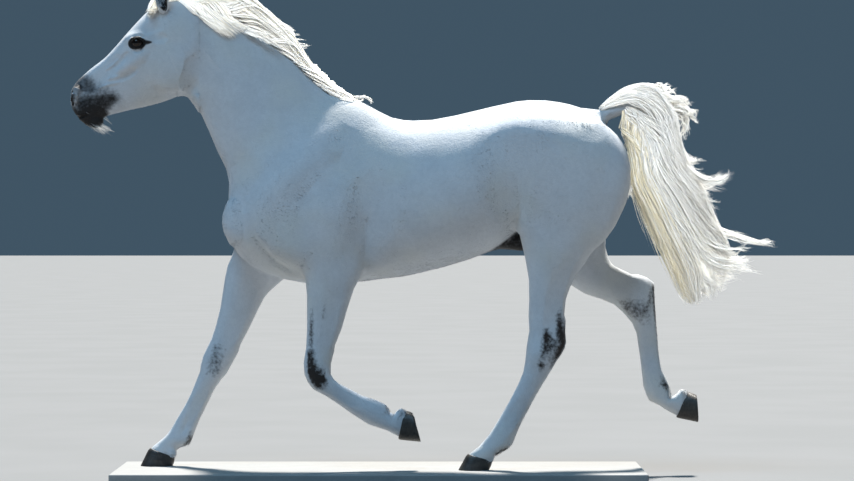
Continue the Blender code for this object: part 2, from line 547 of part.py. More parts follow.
def horse_clay(voxel, reach=0.09):
    clay = Clay((-1.40, -0.36, -0.02), (1.22, 0.36, 1.95), voxel, reach)
    clay.add(body_loft(TRUNK), 0.01)
    clay.add(body_loft(NECK), 0.08)
    sheath = [(0.345, 0.0, 0.890, 0.022, 0.030), (0.400, 0.0, 0.893, 0.028, 0.034),
              (0.465, 0.0, 0.887, 0.031, 0.036), (0.510, 0.0, 0.890, 0.031, 0.034),
              (0.550, 0.0, 0.920, 0.024, 0.028)]
    clay.add(strand(sheath), 0.025)
    for side in (-1, 1):
        add_shoulders(clay, side)
        carve_neck(clay, side)
        add_haunches(clay, side)
    for name, (rows, side, y_top, y_low) in LEGS.items():
        in_hoof = tuple((a + b) / 2 for a, b in zip(HOOVES[name][1], HOOVES[name][2]))
        clay.add(limb_loft((*rows, shrunk(in_hoof, 0.8)), side * y_top, side * y_low), 0.035)
        y = side * (y_top + y_low) / 2
        if "fore" in name:
            add_foreleg(clay, rows, y, 7)
        else:
            add_hindleg(clay, rows, y, 11)
        add_heels(clay, name, side * y_low)
    add_head(clay)
    for side in (-1, 1):
        add_eyelids(clay, side)
    clay.add(body_loft(DOCK), 0.03)
    return clay


def add_eyelids(clay, side):
    """A ball of lids round the eyeball, open in an almond whose corners lie along the head."""
    x, y, z = EYE
    clay.add(pebble((x, side * y, z), (EYE_RADIUS + 0.0035,) * 3), 0.012)
    opening = [(x - 0.021, y + 0.014, z - 0.007, 0.003, 0.008),
               (x - 0.012, y + 0.021, z - 0.002, 0.012, 0.008),
               (x, y + 0.025, z, 0.016, 0.008),
               (x + 0.012, y + 0.021, z, 0.012, 0.008),
               (x + 0.024, y + 0.012, z - 0.001, 0.003, 0.008)]
    clay.carve(strand(mirrored(opening, side)), 0.003)


def ear_clay(side, voxel):
    """A pricked ear: a leaf, hollowed from the front and outside."""
    root = np.array((-0.942, side * 0.060, 1.828))
    clay = Clay(root - 0.07, root + (0.07, 0.07, 0.19), voxel, 6 * voxel)
    leaf = [(0.000, -0.008, -0.030, 0.022, 0.021), (-0.002, 0.000, 0.010, 0.024, 0.022),
            (-0.006, 0.008, 0.050, 0.029, 0.024), (-0.010, 0.014, 0.090, 0.025, 0.020),
            (-0.016, 0.016, 0.125, 0.014, 0.012), (-0.024, 0.015, 0.152, 0.004, 0.004)]
    hollow = [(0.013, 0.020, -0.012, 0.004, 0.005), (0.000, 0.021, 0.010, 0.011, 0.011),
              (-0.013, 0.023, 0.036, 0.020, 0.018),
              (-0.020, 0.028, 0.065, 0.023, 0.020), (-0.022, 0.030, 0.095, 0.018, 0.018),
              (-0.026, 0.026, 0.125, 0.009, 0.012), (-0.030, 0.020, 0.143, 0.003, 0.005)]
    for rows, work, blend in ((leaf, clay.add, 0.002), (hollow, clay.carve, 0.004)):
        placed = [(root[0] + x, root[1] + side * y, root[2] + z, *sizes) for x, y, z, *sizes in rows]
        work(strand(placed), blend)
    return clay


def hoof_loft(rows, y, sides=HOOF_SIDES):
    """A hoof: rounded at the toe, narrower towards the heels."""
    angle = np.linspace(0, 2 * pi, sides, endpoint=False)
    up, out = oval(angle, 2.3)
    out = out * (1 - 0.13 * (1 - up) / 2)
    rings = []
    for front_x, front_z, back_x, back_z, half_width in rows:
        half = np.array([front_x - back_x, 0, front_z - back_z]) / 2
        middle = np.array([front_x + back_x, 2 * y, front_z + back_z]) / 2
        rings.append(middle + np.outer(up, half) + np.outer(out * half_width, (0, 1, 0)))
    return skin_over(rings)


def mane_clay(voxel):
    """The mane: blown up and back off the crest, and falling down the right side of the neck."""
    clay = Clay((-1.00, -0.09, 1.25), (-0.08, 0.22, 2.02), voxel, 6 * voxel)
    ridge = [(x + 0.3 * lift, 0.012, z + lift, depth, 0.26 * depth + 0.012)
             for (x, z), lift, depth in zip(CREST, MANE_LIFTS, MANE_DEPTHS)]
    clay.add(strand(ridge), 0.01)
    flying = [(-0.56, 0.015, 1.800, 0.032, 0.018), (-0.46, 0.018, 1.745, 0.028, 0.014),
              (-0.39, 0.022, 1.700, 0.016, 0.010), (-0.345, 0.026, 1.680, 0.006, 0.005)]
    clay.add(strand(flying), 0.01)
    wisp = [(-0.24, 0.010, 1.480, 0.016, 0.010), (-0.17, 0.016, 1.470, 0.010, 0.008),
            (-0.120, 0.022, 1.484, 0.004, 0.004)]
    clay.add(strand(wisp), 0.01)
    heights = [(x, z, lift + depth) for (x, z), lift, depth in zip(CREST, MANE_LIFTS, MANE_DEPTHS)]
    for k, (x, z, height) in enumerate(curve_through(heights[2:-1], 2)):
        reach = 1.0 + 0.12 * sin(2.4 * k)                     # uneven ends
        deep = 0.010 + 0.36 * height
        fall = [(x + 0.01, 0.020, z + 0.3 * height, deep, 0.018), (x + 0.04, 0.062, z - 0.010, 0.044, 0.016),
                (x + 0.07, 0.088, z - 0.075 * reach, 0.040, 0.014),
                (x + 0.09, 0.104, z - 0.140 * reach, 0.030, 0.012),
                (x + 0.10, 0.112, z - 0.205 * reach, 0.010, 0.008)]
        clay.add(strand(fall), 0.02)
    return clay


def forelock_clay(voxel):
    """The forelock, between the ears and down the forehead."""
    clay = Clay((-1.08, -0.10, 1.70), (-0.86, 0.10, 1.95), voxel, 6 * voxel)
    for y_end, length in ((-0.050, 1.0), (-0.025, 1.2), (0.005, 1.25), (0.035, 1.0)):
        lock = [(-0.915, 0.1 * y_end, 1.868, 0.016, 0.022), (-0.958, 0.5 * y_end, 1.874, 0.016, 0.020),
                (-0.958 - 0.032 * length, 0.9 * y_end, 1.874 - 0.030 * length, 0.013, 0.016),
                (-0.958 - 0.045 * length, y_end, 1.874 - 0.068 * length, 0.005, 0.006)]
        clay.add(strand(lock), 0.006)
    return clay


def tail_clay(voxel):
    """The hair of the tail, with wisps blown out behind it."""
    clay = Clay((0.78, -0.13, 0.60), (1.58, 0.13, 1.58), voxel, 6 * voxel)
    clay.add(body_loft(TAIL), 0.01)
    wisps = (
        [(1.08, -0.01, 1.260, 0.030, 0.022), (1.18, -0.02, 1.185, 0.022, 0.016),
         (1.27, -0.03, 1.158, 0.012, 0.010), (1.330, -0.035, 1.172, 0.004, 0.004)],
        [(1.12, 0.02, 1.160, 0.030, 0.022), (1.22, 0.02, 1.085, 0.020, 0.014),
         (1.308, 0.02, 1.076, 0.004, 0.004)],
        [(1.16, 0.00, 1.010, 0.040, 0.026), (1.28, 0.01, 0.930, 0.028, 0.018),
         (1.40, 0.01, 0.900, 0.012, 0.010), (1.510, 0.01, 0.872, 0.004, 0.004)],
        [(1.16, -0.02, 0.920, 0.040, 0.026), (1.28, -0.02, 0.840, 0.032, 0.020),
         (1.38, -0.02, 0.800, 0.018, 0.012), (1.455, -0.02, 0.795, 0.004, 0.004)],
        [(1.16, 0.02, 0.860, 0.040, 0.026), (1.27, 0.02, 0.775, 0.024, 0.016),
         (1.36, 0.02, 0.750, 0.004, 0.004)],
        [(1.18, 0.00, 0.780, 0.034, 0.022), (1.23, 0.00, 0.710, 0.020, 0.014),
         (1.266, 0.00, 0.656, 0.004, 0.004)],
    )
    for rows in wisps:
        clay.add(strand(rows), 0.01)
    room = [(ax, az + DOCK_ROOM, bx, bz - DOCK_ROOM, half_width + DOCK_ROOM, *shape)
            for ax, az, bx, bz, half_width, *shape in DOCK]
    clay.carve(body_loft(room), 0.004)
    return clay


# ---------------------------------------------------------------- solids
LIFT = np.array((-ORIGIN_X, 0, BASE_THICKNESS + GAP - SOLE_Z))  # from the heights above to the model's frame


def solid(name, mesh_data, material):
    """An object of those points and faces, placed in the model's frame."""
    points, faces = mesh_data
    mesh = bpy.data.meshes.new(name)
    mesh.from_pydata((np.asarray(points) + LIFT).tolist(), [], np.asarray(faces).tolist())
    mesh.materials.append(material)
    made = bpy.data.objects.new(name, mesh)
    bpy.context.scene.collection.objects.link(made)
    return made


def settle(obj):
    """Puts the outcome of an object's modifiers in its mesh."""
    graph = bpy.context.evaluated_depsgraph_get()
    graph.update()
    mesh = bpy.data.meshes.new_from_object(obj.evaluated_get(graph))
    obj.modifiers.clear()
    obj.data = mesh


def thin(obj, triangles, share_ahead=1.0):
    """Collapses edges until about that many triangles are left, fewer of them ahead of the throat."""
    thinner = obj.modifiers.new("thin", "DECIMATE")
    faces = sum(len(face.vertices) - 2 for face in obj.data.polygons)
    thinner.ratio = triangles / faces
    thinner.use_collapse_triangulate = True
    group = obj.vertex_groups.new(name="thinned")
    ahead = np.array([point.co.x for point in obj.data.vertices]) < HEAD_FRONT_OF - ORIGIN_X
    group.add(np.flatnonzero(~ahead).tolist(), 1.0, "REPLACE")
    group.add(np.flatnonzero(ahead).tolist(), share_ahead, "REPLACE")
    thinner.vertex_group = group.name
    settle(obj)
    obj.vertex_groups.clear()


def boolean(obj, other, operation):
    cut = obj.modifiers.new("cut", "BOOLEAN")
    cut.operation = operation
    cut.solver = "EXACT"
    cut.object = other
    settle(obj)


def swollen(obj, by):
    """A copy of a solid, with its points moved out along their normals."""
    mesh = obj.data.copy()
    for point, normal in zip(mesh.vertices, [tuple(n.vector) for n in mesh.vertex_normals]):
        point.co = [a + by * b for a, b in zip(point.co, normal)]
    made = bpy.data.objects.new("swollen", mesh)
    bpy.context.scene.collection.objects.link(made)
    return made


def remove(obj):
    bpy.data.objects.remove(obj)


def block_beyond(point, way, near_width, far_width, depth, half_y=BLOCK_HALF_Y):
    """A wedge beyond a plane. It starts near_width wide at the plane's point and runs depth along way."""
    way = np.array(way) / np.linalg.norm(way)
    across = np.array((0.0, 1.0, 0.0))
    third = np.cross(way, across)
    corners = []
    for out, width in ((0, near_width), (depth, far_width)):
        for a, b in ((-1, -1), (1, -1), (1, 1), (-1, 1)):
            corners.append(np.array(point) + out * way + a * width / 2 * third + b * half_y * across)
    faces = [(0, 1, 2, 3), (7, 6, 5, 4), (0, 4, 5, 1), (1, 5, 6, 2), (2, 6, 7, 3), (3, 7, 4, 0)]
    return solid("block", (corners, faces), PLAIN)


def part_off(obj, name, material, point, way, size=(0.7, 0.7, 0.8), side=0):
    """Parts off what lies beyond a plane as a piece of its own, GAP away from the rest. The size is the last
    numbers of block_beyond. With a side, only that side is cut."""
    way = np.array(way, float) / np.linalg.norm(way)
    point = np.array(point) + (0, side * (BLOCK_HALF_Y + MIDLINE), 0)
    block = block_beyond(point, way, *size)
    remains = block_beyond(point - GAP * way, way, *size)
    piece = bpy.data.objects.new(name, obj.data.copy())
    bpy.context.scene.collection.objects.link(piece)
    boolean(piece, block, "INTERSECT")
    boolean(obj, remains, "DIFFERENCE")
    piece.data.materials.clear()
    piece.data.materials.append(material)
    remove(block)
    remove(remains)
    return piece


def across_row(rows, k):
    """The middle of a leg's row, and the way down the leg there, square to the row."""
    front_x, front_z, back_x, back_z, _ = rows[k]
    next_front_x, next_front_z, next_back_x, next_back_z, _ = rows[k + 1]
    middle = np.array((front_x + back_x, 0, front_z + back_z)) / 2
    ahead = np.array((next_front_x + next_back_x, 0, next_front_z + next_back_z)) / 2 - middle
    way = np.array((front_z - back_z, 0, back_x - front_x))
    return middle, way if way @ ahead > 0 else -way


def keep_largest(obj):
    """Drops all but the largest closed body of an object's mesh."""
    shape = bmesh.new()
    shape.from_mesh(obj.data)
    left = set(shape.verts)
    bodies = []
    while left:
        body = {left.pop()}
        edge_of = list(body)
        while edge_of:
            point = edge_of.pop()
            for edge in point.link_edges:
                other = edge.other_vert(point)
                if other in left:
                    left.discard(other)
                    body.add(other)
                    edge_of.append(other)
        bodies.append(body)
    bodies.sort(key=len)
    for body in bodies[:-1]:
        bmesh.ops.delete(shape, geom=list(body), context="VERTS")
    shape.to_mesh(obj.data)
    shape.free()


def fit_round(obj, others, gap=GAP):
    """Cuts the room of other solids, and a gap, out of a solid."""
    for other in others:
        room = swollen(other, gap)
        boolean(obj, room, "DIFFERENCE")
        remove(room)
    keep_largest(obj)


def paint(name, colour, roughness, metallic=0.0):
    material = bpy.data.materials.new(name)
    material.use_nodes = True
    shader = material.node_tree.nodes["Principled BSDF"]
    shader.inputs["Base Color"].default_value = (*colour, 1)
    shader.inputs["Roughness"].default_value = roughness
    shader.inputs["Metallic"].default_value = metallic
    return material


# ---------------------------------------------------------------- pieces
LEG_CUTS = {                      # where a leg leaves the trunk, the way down, width, rows of its other cuts
    "foreleg_left": ((-0.27, 0.730), (0.0, -1.0), 0.40, 9, 15),
    "foreleg_right": ((-0.575, 0.765), (-0.45, -0.89), 0.40, 9, 14),
    "hindleg_left": ((0.620, 0.842), (0.03, -1.0), 0.44, 13, 18),
    "hindleg_right": ((0.700, 0.882), (0.29, -0.957), 0.44, 14, 19),
}
MIDLINE = 0.012                   # how far to each side of the middle a leg's own cut begins
SHIN = (0.3, 0.7, 0.6)            # size of the block round a cannon or pastern
HEAD_CUT = ((-0.845, 0, 1.680), (-0.97, 0, 0.10))
MUZZLE_CUT = ((-1.225, 0, 1.485), (-0.93, 0, -0.36))
NECK_CUT = ((-0.43, 0, 1.235), (-0.68, 0, 0.73), (1.1, 1.1, 0.9))
DOCK_CUT = ((0.800, 0, 1.385), (0.94, 0, 0.34), (0.16, 0.3, 0.4, 0.06))
UPPER_NAMES = {"fore": "forearm", "hind": "gaskin"}


def make_legs(flesh, coat, horn):
    """Parts each leg off the trunk, then at the knee or hock and at the fetlock, and adds its hoof."""
    for leg, (point, way, width, at_knee, at_fetlock) in LEG_CUTS.items():
        rows, side, _, y_low = LEGS[leg]
        upper_name = f"{leg}_{UPPER_NAMES[leg[:4]]}"
        point, way = (point[0], 0, point[1]), (way[0], 0, way[1])
        upper = part_off(flesh, upper_name, coat, point, way, (width, 1.6, 1.2), side)
        hoof = solid(f"{leg}_hoof", hoof_loft(HOOVES[leg], side * y_low), horn)
        cannon = part_off(upper, f"{leg}_cannon", coat, *across_row(rows, at_knee), SHIN)
        pastern = part_off(cannon, f"{leg}_pastern", coat, *across_row(rows, at_fetlock), SHIN)
        fit_round(pastern, [hoof])
        for piece in (upper, cannon, pastern):
            keep_largest(piece)


def make_head(flesh, coat, lips, eye_glass):
    """Parts the head, its muzzle and its ears, and seats the eyeballs."""
    head = part_off(flesh, "head", coat, *HEAD_CUT)
    for side, word in ((-1, "left"), (1, "right")):
        ball = bmesh.new()
        bmesh.ops.create_icosphere(ball, subdivisions=3, radius=EYE_RADIUS)
        points = [tuple(point.co) for point in ball.verts]
        faces = [tuple(point.index for point in face.verts) for face in ball.faces]
        ball.free()
        x, y, z = EYE
        eye = solid(f"eye_{word}", (np.array(points) + (x, side * y, z), faces), eye_glass)
        fit_round(head, [eye])
        ear_mesh = ear_clay(side, EAR_VOXEL).surface()
        ear = solid(f"ear_{word}", ear_mesh, coat)
        thin(ear, EAR_TRIANGLES)
        fit_round(ear, [head], LOOSE_GAP)
    part_off(head, "muzzle", lips, *MUZZLE_CUT)
    return head


def make_hair(name, clay, triangles, material, others):
    hair = solid(name, clay.surface(), material)
    thin(hair, triangles)
    fit_round(hair, others, LOOSE_GAP)
    return hair


def make_base(material):
    mesh = bpy.data.meshes.new("stand_base")
    shape = bmesh.new()
    bmesh.ops.create_cube(shape, size=1)
    bmesh.ops.scale(shape, verts=shape.verts, vec=(BASE_LENGTH, BASE_WIDTH, BASE_THICKNESS))
    bmesh.ops.translate(shape, verts=shape.verts, vec=(0, 0, BASE_THICKNESS / 2))
    rounded = [edge for edge in shape.edges if max(point.co.z for point in edge.verts) > BASE_THICKNESS / 2]
    bmesh.ops.bevel(shape, geom=rounded, offset=BASE_BEVEL, segments=3, affect="EDGES", profile=0.5)
    shape.to_mesh(mesh)
    shape.free()
    mesh.materials.append(material)
    made = bpy.data.objects.new("stand_base", mesh)
    bpy.context.scene.collection.objects.link(made)


for thing in list(bpy.data.objects):
    bpy.data.objects.remove(thing)

PLAIN = paint("plain", (0.5, 0.5, 0.5), 0.5)
coat_grey = paint("coat", (0.72, 0.74, 0.78), 0.55)
muzzle_grey = paint("muzzle_skin", (0.10, 0.10, 0.11), 0.6)
hair_cream = paint("long_hair", (0.85, 0.82, 0.72), 0.5)
hoof_horn = paint("hoof_horn", (0.09, 0.075, 0.065), 0.45)
eye_dark = paint("eye", (0.012, 0.009, 0.008), 0.08)
base_grey = paint("base_paint", (0.34, 0.34, 0.33), 0.5)

body = horse_clay(BODY_VOXEL)
body.relax()
trunk = solid("trunk", body.surface(), coat_grey)
thin(trunk, BODY_TRIANGLES, HEAD_SHARE)

whole_head = make_head(trunk, coat_grey, muzzle_grey, eye_dark)
make_legs(trunk, coat_grey, hoof_horn)
neck = part_off(trunk, "neck", coat_grey, *NECK_CUT)
dock = part_off(trunk, "tail_dock", coat_grey, *DOCK_CUT)
for piece in (trunk, neck, dock, whole_head):
    keep_largest(piece)
pieces = bpy.data.objects
make_hair("tail_hair", tail_clay(HAIR_VOXEL), TAIL_TRIANGLES, hair_cream, [dock, trunk])
mane = make_hair(
    "mane", mane_clay(HAIR_VOXEL), MANE_TRIANGLES, hair_cream,
    [whole_head, neck, trunk, pieces["ear_left"], pieces["ear_right"]],
)
make_hair(
    "forelock", forelock_clay(HAIR_VOXEL), FORELOCK_TRIANGLES, hair_cream,
    [whole_head, neck, mane, pieces["ear_left"], pieces["ear_right"]],
)
make_base(base_grey)

for piece in bpy.data.objects:
    if piece.name != "stand_base":
        piece.data.shade_smooth()
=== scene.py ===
"""Looks of a life-size grey horse at the trot. The skin is worked as a distance field, like clay, on the
sections that the CAD has. The coat, mane and tail are closed locks of mesh, laid over it. Metres, +Z up."""

from math import cos, hypot, pi, radians, sin

import bmesh
import bpy
import numpy as np
import openvdb as vdb
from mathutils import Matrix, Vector
from mathutils.bvhtree import BVHTree


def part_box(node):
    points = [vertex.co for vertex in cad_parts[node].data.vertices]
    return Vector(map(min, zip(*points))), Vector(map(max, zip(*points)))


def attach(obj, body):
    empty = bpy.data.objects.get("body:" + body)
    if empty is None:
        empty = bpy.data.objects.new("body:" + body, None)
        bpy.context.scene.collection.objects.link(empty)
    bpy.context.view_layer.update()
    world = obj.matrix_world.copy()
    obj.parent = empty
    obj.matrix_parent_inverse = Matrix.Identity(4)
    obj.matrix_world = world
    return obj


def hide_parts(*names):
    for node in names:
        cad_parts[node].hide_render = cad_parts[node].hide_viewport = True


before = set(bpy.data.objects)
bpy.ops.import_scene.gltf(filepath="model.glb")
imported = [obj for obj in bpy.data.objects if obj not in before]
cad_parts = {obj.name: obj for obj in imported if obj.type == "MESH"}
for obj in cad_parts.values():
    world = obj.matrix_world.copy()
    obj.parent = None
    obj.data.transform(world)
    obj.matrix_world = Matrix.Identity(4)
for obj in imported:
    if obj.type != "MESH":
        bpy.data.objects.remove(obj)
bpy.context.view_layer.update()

# ---------------------------------------------------------------- sizes
COAT_DEPTH = 0.0015               # the skin lies this far inside the CAD's outline
BODY_VOXEL = 0.006
HEAD_VOXEL = 0.002
EAR_VOXEL = 0.0015
HOOF_VOXEL = 0.002
CORE_VOXEL = 0.006
FORELOCK_VOXEL = 0.004
SKIN_TRIANGLES = 190000
EAR_TRIANGLES = 14000
COAT_TUFTS = 38000     # flat tufts on each side
EDGE_THINNING = 1         # one in this many of the longer tufts is laid
EAR_HAIRS = 1500
WHISKERS = 80
LASHES = 46
TAIL_LOCKS = 2000       # in each layer of the tail
MANE_LOCKS = 2200       # in each half of the mane
FORELOCK_LOCKS = 640
STRAND_LOCKS = 9          # in a strand blown out of the mane or tail
LOCK_POINTS = 12                          # along a lock of the mane or tail
HEAD_FROM = -0.80                 # the skin is refined ahead of this, in the heights' own x
HEAD_WHOLLY = -0.86
HEAD_CUT_ABOVE = 1.30             # ahead of HEAD_FROM and above this, the skin's faces are cut smaller
HEAD_MOVED_ABOVE = 1.32           # and above this, they are moved to the finer head
ROOT_DEPTH = 0.0012               # a tuft's root lies this far inside the skin
NEAR_SKIN = 0.12                  # locks further than this from the skin are not kept off it
PATCH = 0.003                     # a tuft's width on the OFBake map
CORE_TONE = 0.75                  # of the hair inside the locks, from cream at 0 to white
GAP = 0.0003                      # between the soles and the base
SEED = 7


# ---------------------------------------------------------------- clay: a distance field, joined and carved
AROUND = 32                       # points round a loft's ring
STEPS = 4                         # rings between two stations


class Clay:
    """Signed distances on a regular grid. Lofts are joined to it or carved from it with soft edges."""

    def __init__(self, low, high, voxel, reach):
        self.low = np.array(low, float)
        self.voxel = voxel
        self.reach = reach
        self.shape = np.ceil((np.array(high) - self.low) / voxel).astype(int) + 1
        self.field = np.full(self.shape, reach, np.float32)

    def block_of(self, loft):
        """The part of the grid that a closed loft reaches, as slices, and its distances there."""
        points, triangles = loft
        scale = vdb.createLinearTransform(voxelSize=self.voxel)
        grid = vdb.FloatGrid.createLevelSetFromPolygons(
            np.ascontiguousarray(points - self.low, np.float32),
            triangles=np.ascontiguousarray(triangles, np.uint32),
            transform=scale,
            halfWidth=self.reach / self.voxel,
        )
        first, last = (np.array(corner) for corner in grid.evalActiveVoxelBoundingBox())
        first = np.clip(first, 0, self.shape)
        last = np.clip(last + 1, 0, self.shape)
        block = np.empty(last - first, np.float32)
        grid.copyToArray(block, ijk=tuple(int(n) for n in first))
        return tuple(slice(a, b) for a, b in zip(first, last)), np.clip(block, -self.reach, self.reach)

    def add(self, loft, blend=0.02):
        """Joins a loft, with a fillet about blend wide where it meets what is there."""
        where, new = self.block_of(loft)
        old = self.field[where]
        soft = np.maximum(blend - np.abs(old - new), 0) ** 2 / (4 * blend)
        soft[new > self.reach * 0.99] = 0
        self.field[where] = np.minimum(old, new) - soft

    def carve(self, loft, blend=0.02):
        """Cuts a loft away, with edges rounded over about blend."""
        where, new = self.block_of(loft)
        old = self.field[where]
        soft = np.maximum(blend - np.abs(old + new), 0) ** 2 / (4 * blend)
        soft[new > self.reach * 0.99] = 0
        self.field[where] = np.maximum(old, -new) + soft

    def relax(self, times=1):
        """Evens the field out over about a voxel, which takes the edge off small creases."""
        for _ in range(times):
            for axis in range(3):
                ahead = np.roll(self.field, -1, axis)
                behind = np.roll(self.field, 1, axis)
                self.field = (behind + 2 * self.field + ahead) / 4

    def surface(self, inset=0.0):
        """(points, quads) of the surface, inset metres inside the clay."""
        grid = vdb.FloatGrid(self.reach)
        grid.copyFromArray(self.field)
        points, quads = grid.convertToQuads(isovalue=-inset)
        return np.asarray(points) * self.voxel + self.low, np.asarray(quads)


def curve_through(rows, steps=STEPS):
    """Rows of numbers with steps more between each two, on a smooth curve through them all."""
    rows = np.array(rows, float)
    ends = np.vstack([2 * rows[0] - rows[1], rows, 2 * rows[-1] - rows[-2]])
    made = []
    for k in range(len(rows) - 1):
        before, start, end, after = ends[k : k + 4]
        for t in np.arange(steps) / steps:
            made.append(
                (2 * start + (end - before) * t
                 + (2 * before - 5 * start + 4 * end - after) * t**2
                 + (3 * start - before - 3 * end + after) * t**3) / 2
            )
    return np.array(made + [rows[-1]])


def skin_over(rings):
    """(points, triangles) of the closed surface through equal rings, its ends closed by fans."""
    count, around = len(rings), len(rings[0])
    points = np.vstack([*rings, [rings[0].mean(0)], [rings[-1].mean(0)]])
    here = np.arange(around)
    ahead = (here + 1) % around
    triangles = []
    for k in range(count - 1):
        a, b = k * around, (k + 1) * around
        triangles.append(np.stack([a + here, a + ahead, b + here], 1))
        triangles.append(np.stack([a + ahead, b + ahead, b + here], 1))
    first, last = count * around, count * around + 1
    triangles.append(np.stack([np.full(around, first), ahead, here], 1))
    top = (count - 1) * around
    triangles.append(np.stack([np.full(around, last), top + here, top + ahead], 1))
    return points, np.vstack(triangles)


def oval(angle, power):
    """Both coordinates of a superellipse of that power at an angle."""
    up, out = np.cos(angle), np.sin(angle)
    return np.sign(up) * np.abs(up) ** (2 / power), np.sign(out) * np.abs(out) ** (2 / power)


def body_loft(rows, y=0.0, sides=72, steps=6):
    """A loft through sections across the body. Each row is the section's top (x, z), its bottom (x, z), its
    half width, how far up its widest place is (from -1 to 1), and how square it is above and below that."""
    angle = np.linspace(0, 2 * pi, sides, endpoint=False)
    rings = []
    for top_x, top_z, low_x, low_z, half_width, widest, above, below in curve_through(rows, steps):
        half = np.array([top_x - low_x, 0, top_z - low_z]) / 2
        middle = np.array([top_x + low_x, 2 * y, top_z + low_z]) / 2 + widest * half
        power = np.where(np.cos(angle) > 0, above, below)
        up, out = oval(angle, power)
        up = up * np.where(up > 0, 1 - widest, 1 + widest)
        rings.append(middle + np.outer(up, half) + np.outer(out * half_width, (0, 1, 0)))
    return skin_over(rings)


def limb_loft(rows, y_top, y_low, square=2.2):
    """A loft down a leg. Each row is the front of a section (x, z), its back (x, z) and its half width."""
    angle = np.linspace(0, 2 * pi, AROUND, endpoint=False)
    up, out = oval(angle, square)
    rings = []
    stations = curve_through(rows)
    for k, (front_x, front_z, back_x, back_z, half_width) in enumerate(stations):
        y = y_top + (y_low - y_top) * k / (len(stations) - 1)
        half = np.array([front_x - back_x, 0, front_z - back_z]) / 2
        middle = np.array([front_x + back_x, 2 * y, front_z + back_z]) / 2
        rings.append(middle + np.outer(up, half) + np.outer(out * half_width, (0, 1, 0)))
    return skin_over(rings)


def strand(rows, square=2.0, sides=AROUND):
    """A rounded strand along a path, for a muscle, a bone or a fold. Each row is a point (x, y, z), the half
    depth in the horse's own plane and the half thickness across it."""
    angle = np.linspace(0, 2 * pi, sides, endpoint=False)
    up, out = oval(angle, square)
    stations = curve_through(rows)
    path = stations[:, :3]
    along = np.gradient(path, axis=0)
    along /= np.linalg.norm(along, axis=1)[:, None]
    length = np.linspace(0, 1, len(path))
    tip = np.sqrt(np.clip(1 - (2 * np.clip(np.abs(length - 0.5), 0.35, 0.5) - 0.7) ** 2 / 0.09, 0.02, 1))
    rings = []
    for point, way, depth, thick, round_off in zip(path, along, stations[:, 3], stations[:, 4], tip):
        deep = np.cross(way, (0, 1, 0))
        deep /= np.linalg.norm(deep)
        across = np.cross(deep, way)
        rings.append(point + round_off * (np.outer(up * depth, deep) + np.outer(out * thick, across)))
    return skin_over(rings)


def pebble(middle, radii):
    """An ellipsoid, given its half sizes along x, y and z."""
    turn = np.linspace(0, pi, 13)
    angle = np.linspace(0, 2 * pi, 24, endpoint=False)
    rings = []
    for t in turn:
        wide = max(sin(t), 0.01)
        ring = np.stack([wide * np.cos(angle), wide * np.sin(angle), np.full(24, cos(t))], 1)
        rings.append(np.array(middle) + ring * np.array(radii))
    return skin_over(rings[::-1])


def mirrored(rows, side):
    """Rows of a strand with y turned to that side: -1 is the horse's left, 1 its right."""
    return [(x, side * y, z, *sizes) for x, y, z, *sizes in rows]


def side_strand(rows, side):
    return strand(mirrored(rows, side))


def oval_sections(rows):
    """Rows for body_loft whose sections are plain ovals, from each one's ends and half width."""
    return tuple((*row, 0, 2, 2) for row in rows)


# ---------------------------------------------------------------- the horse, in metres above the ground
# The head points to -X and the left side to -Y. Top and bottom, or front and back, of each section.
TRUNK = (
    (-0.684, 1.008, -0.682, 0.928, 0.050, 0.00, 2.0, 2.0),   # front of the breast
    (-0.656, 1.096, -0.654, 0.852, 0.105, -0.05, 2.0, 2.0),
    (-0.600, 1.192, -0.600, 0.800, 0.150, -0.10, 1.9, 2.0),  # points of the shoulders
    (-0.500, 1.304, -0.500, 0.752, 0.180, -0.15, 1.8, 2.0),
    (-0.388, 1.384, -0.380, 0.726, 0.190, -0.20, 1.65, 2.0),
    (-0.272, 1.428, -0.272, 0.724, 0.198, -0.20, 1.55, 2.0),
    (-0.168, 1.441, -0.160, 0.732, 0.208, -0.20, 1.55, 2.0),  # withers
    (-0.080, 1.409, -0.080, 0.742, 0.226, -0.15, 1.7, 2.0),   # girth
    (0.000, 1.382, 0.000, 0.751, 0.248, -0.10, 1.9, 2.05),
    (0.100, 1.379, 0.100, 0.772, 0.270, -0.10, 2.0, 2.1),
    (0.200, 1.394, 0.200, 0.798, 0.282, -0.08, 2.05, 2.1),    # widest ribs
    (0.300, 1.417, 0.300, 0.830, 0.280, -0.05, 2.05, 2.1),
    (0.400, 1.440, 0.392, 0.868, 0.264, 0.00, 2.0, 2.1),      # loins
    (0.488, 1.457, 0.464, 0.924, 0.250, 0.00, 1.9, 2.0),
    (0.580, 1.458, 0.540, 0.968, 0.240, 0.00, 1.85, 2.0),     # croup
    (0.660, 1.447, 0.608, 0.984, 0.228, 0.00, 1.85, 2.0),
    (0.736, 1.424, 0.688, 1.000, 0.200, 0.00, 1.85, 2.0),
    (0.796, 1.400, 0.768, 1.036, 0.155, 0.00, 1.9, 2.0),
    (0.832, 1.350, 0.824, 1.088, 0.100, 0.00, 2.0, 2.0),
    (0.856, 1.290, 0.852, 1.170, 0.050, 0.00, 2.0, 2.0),      # under the tail
)
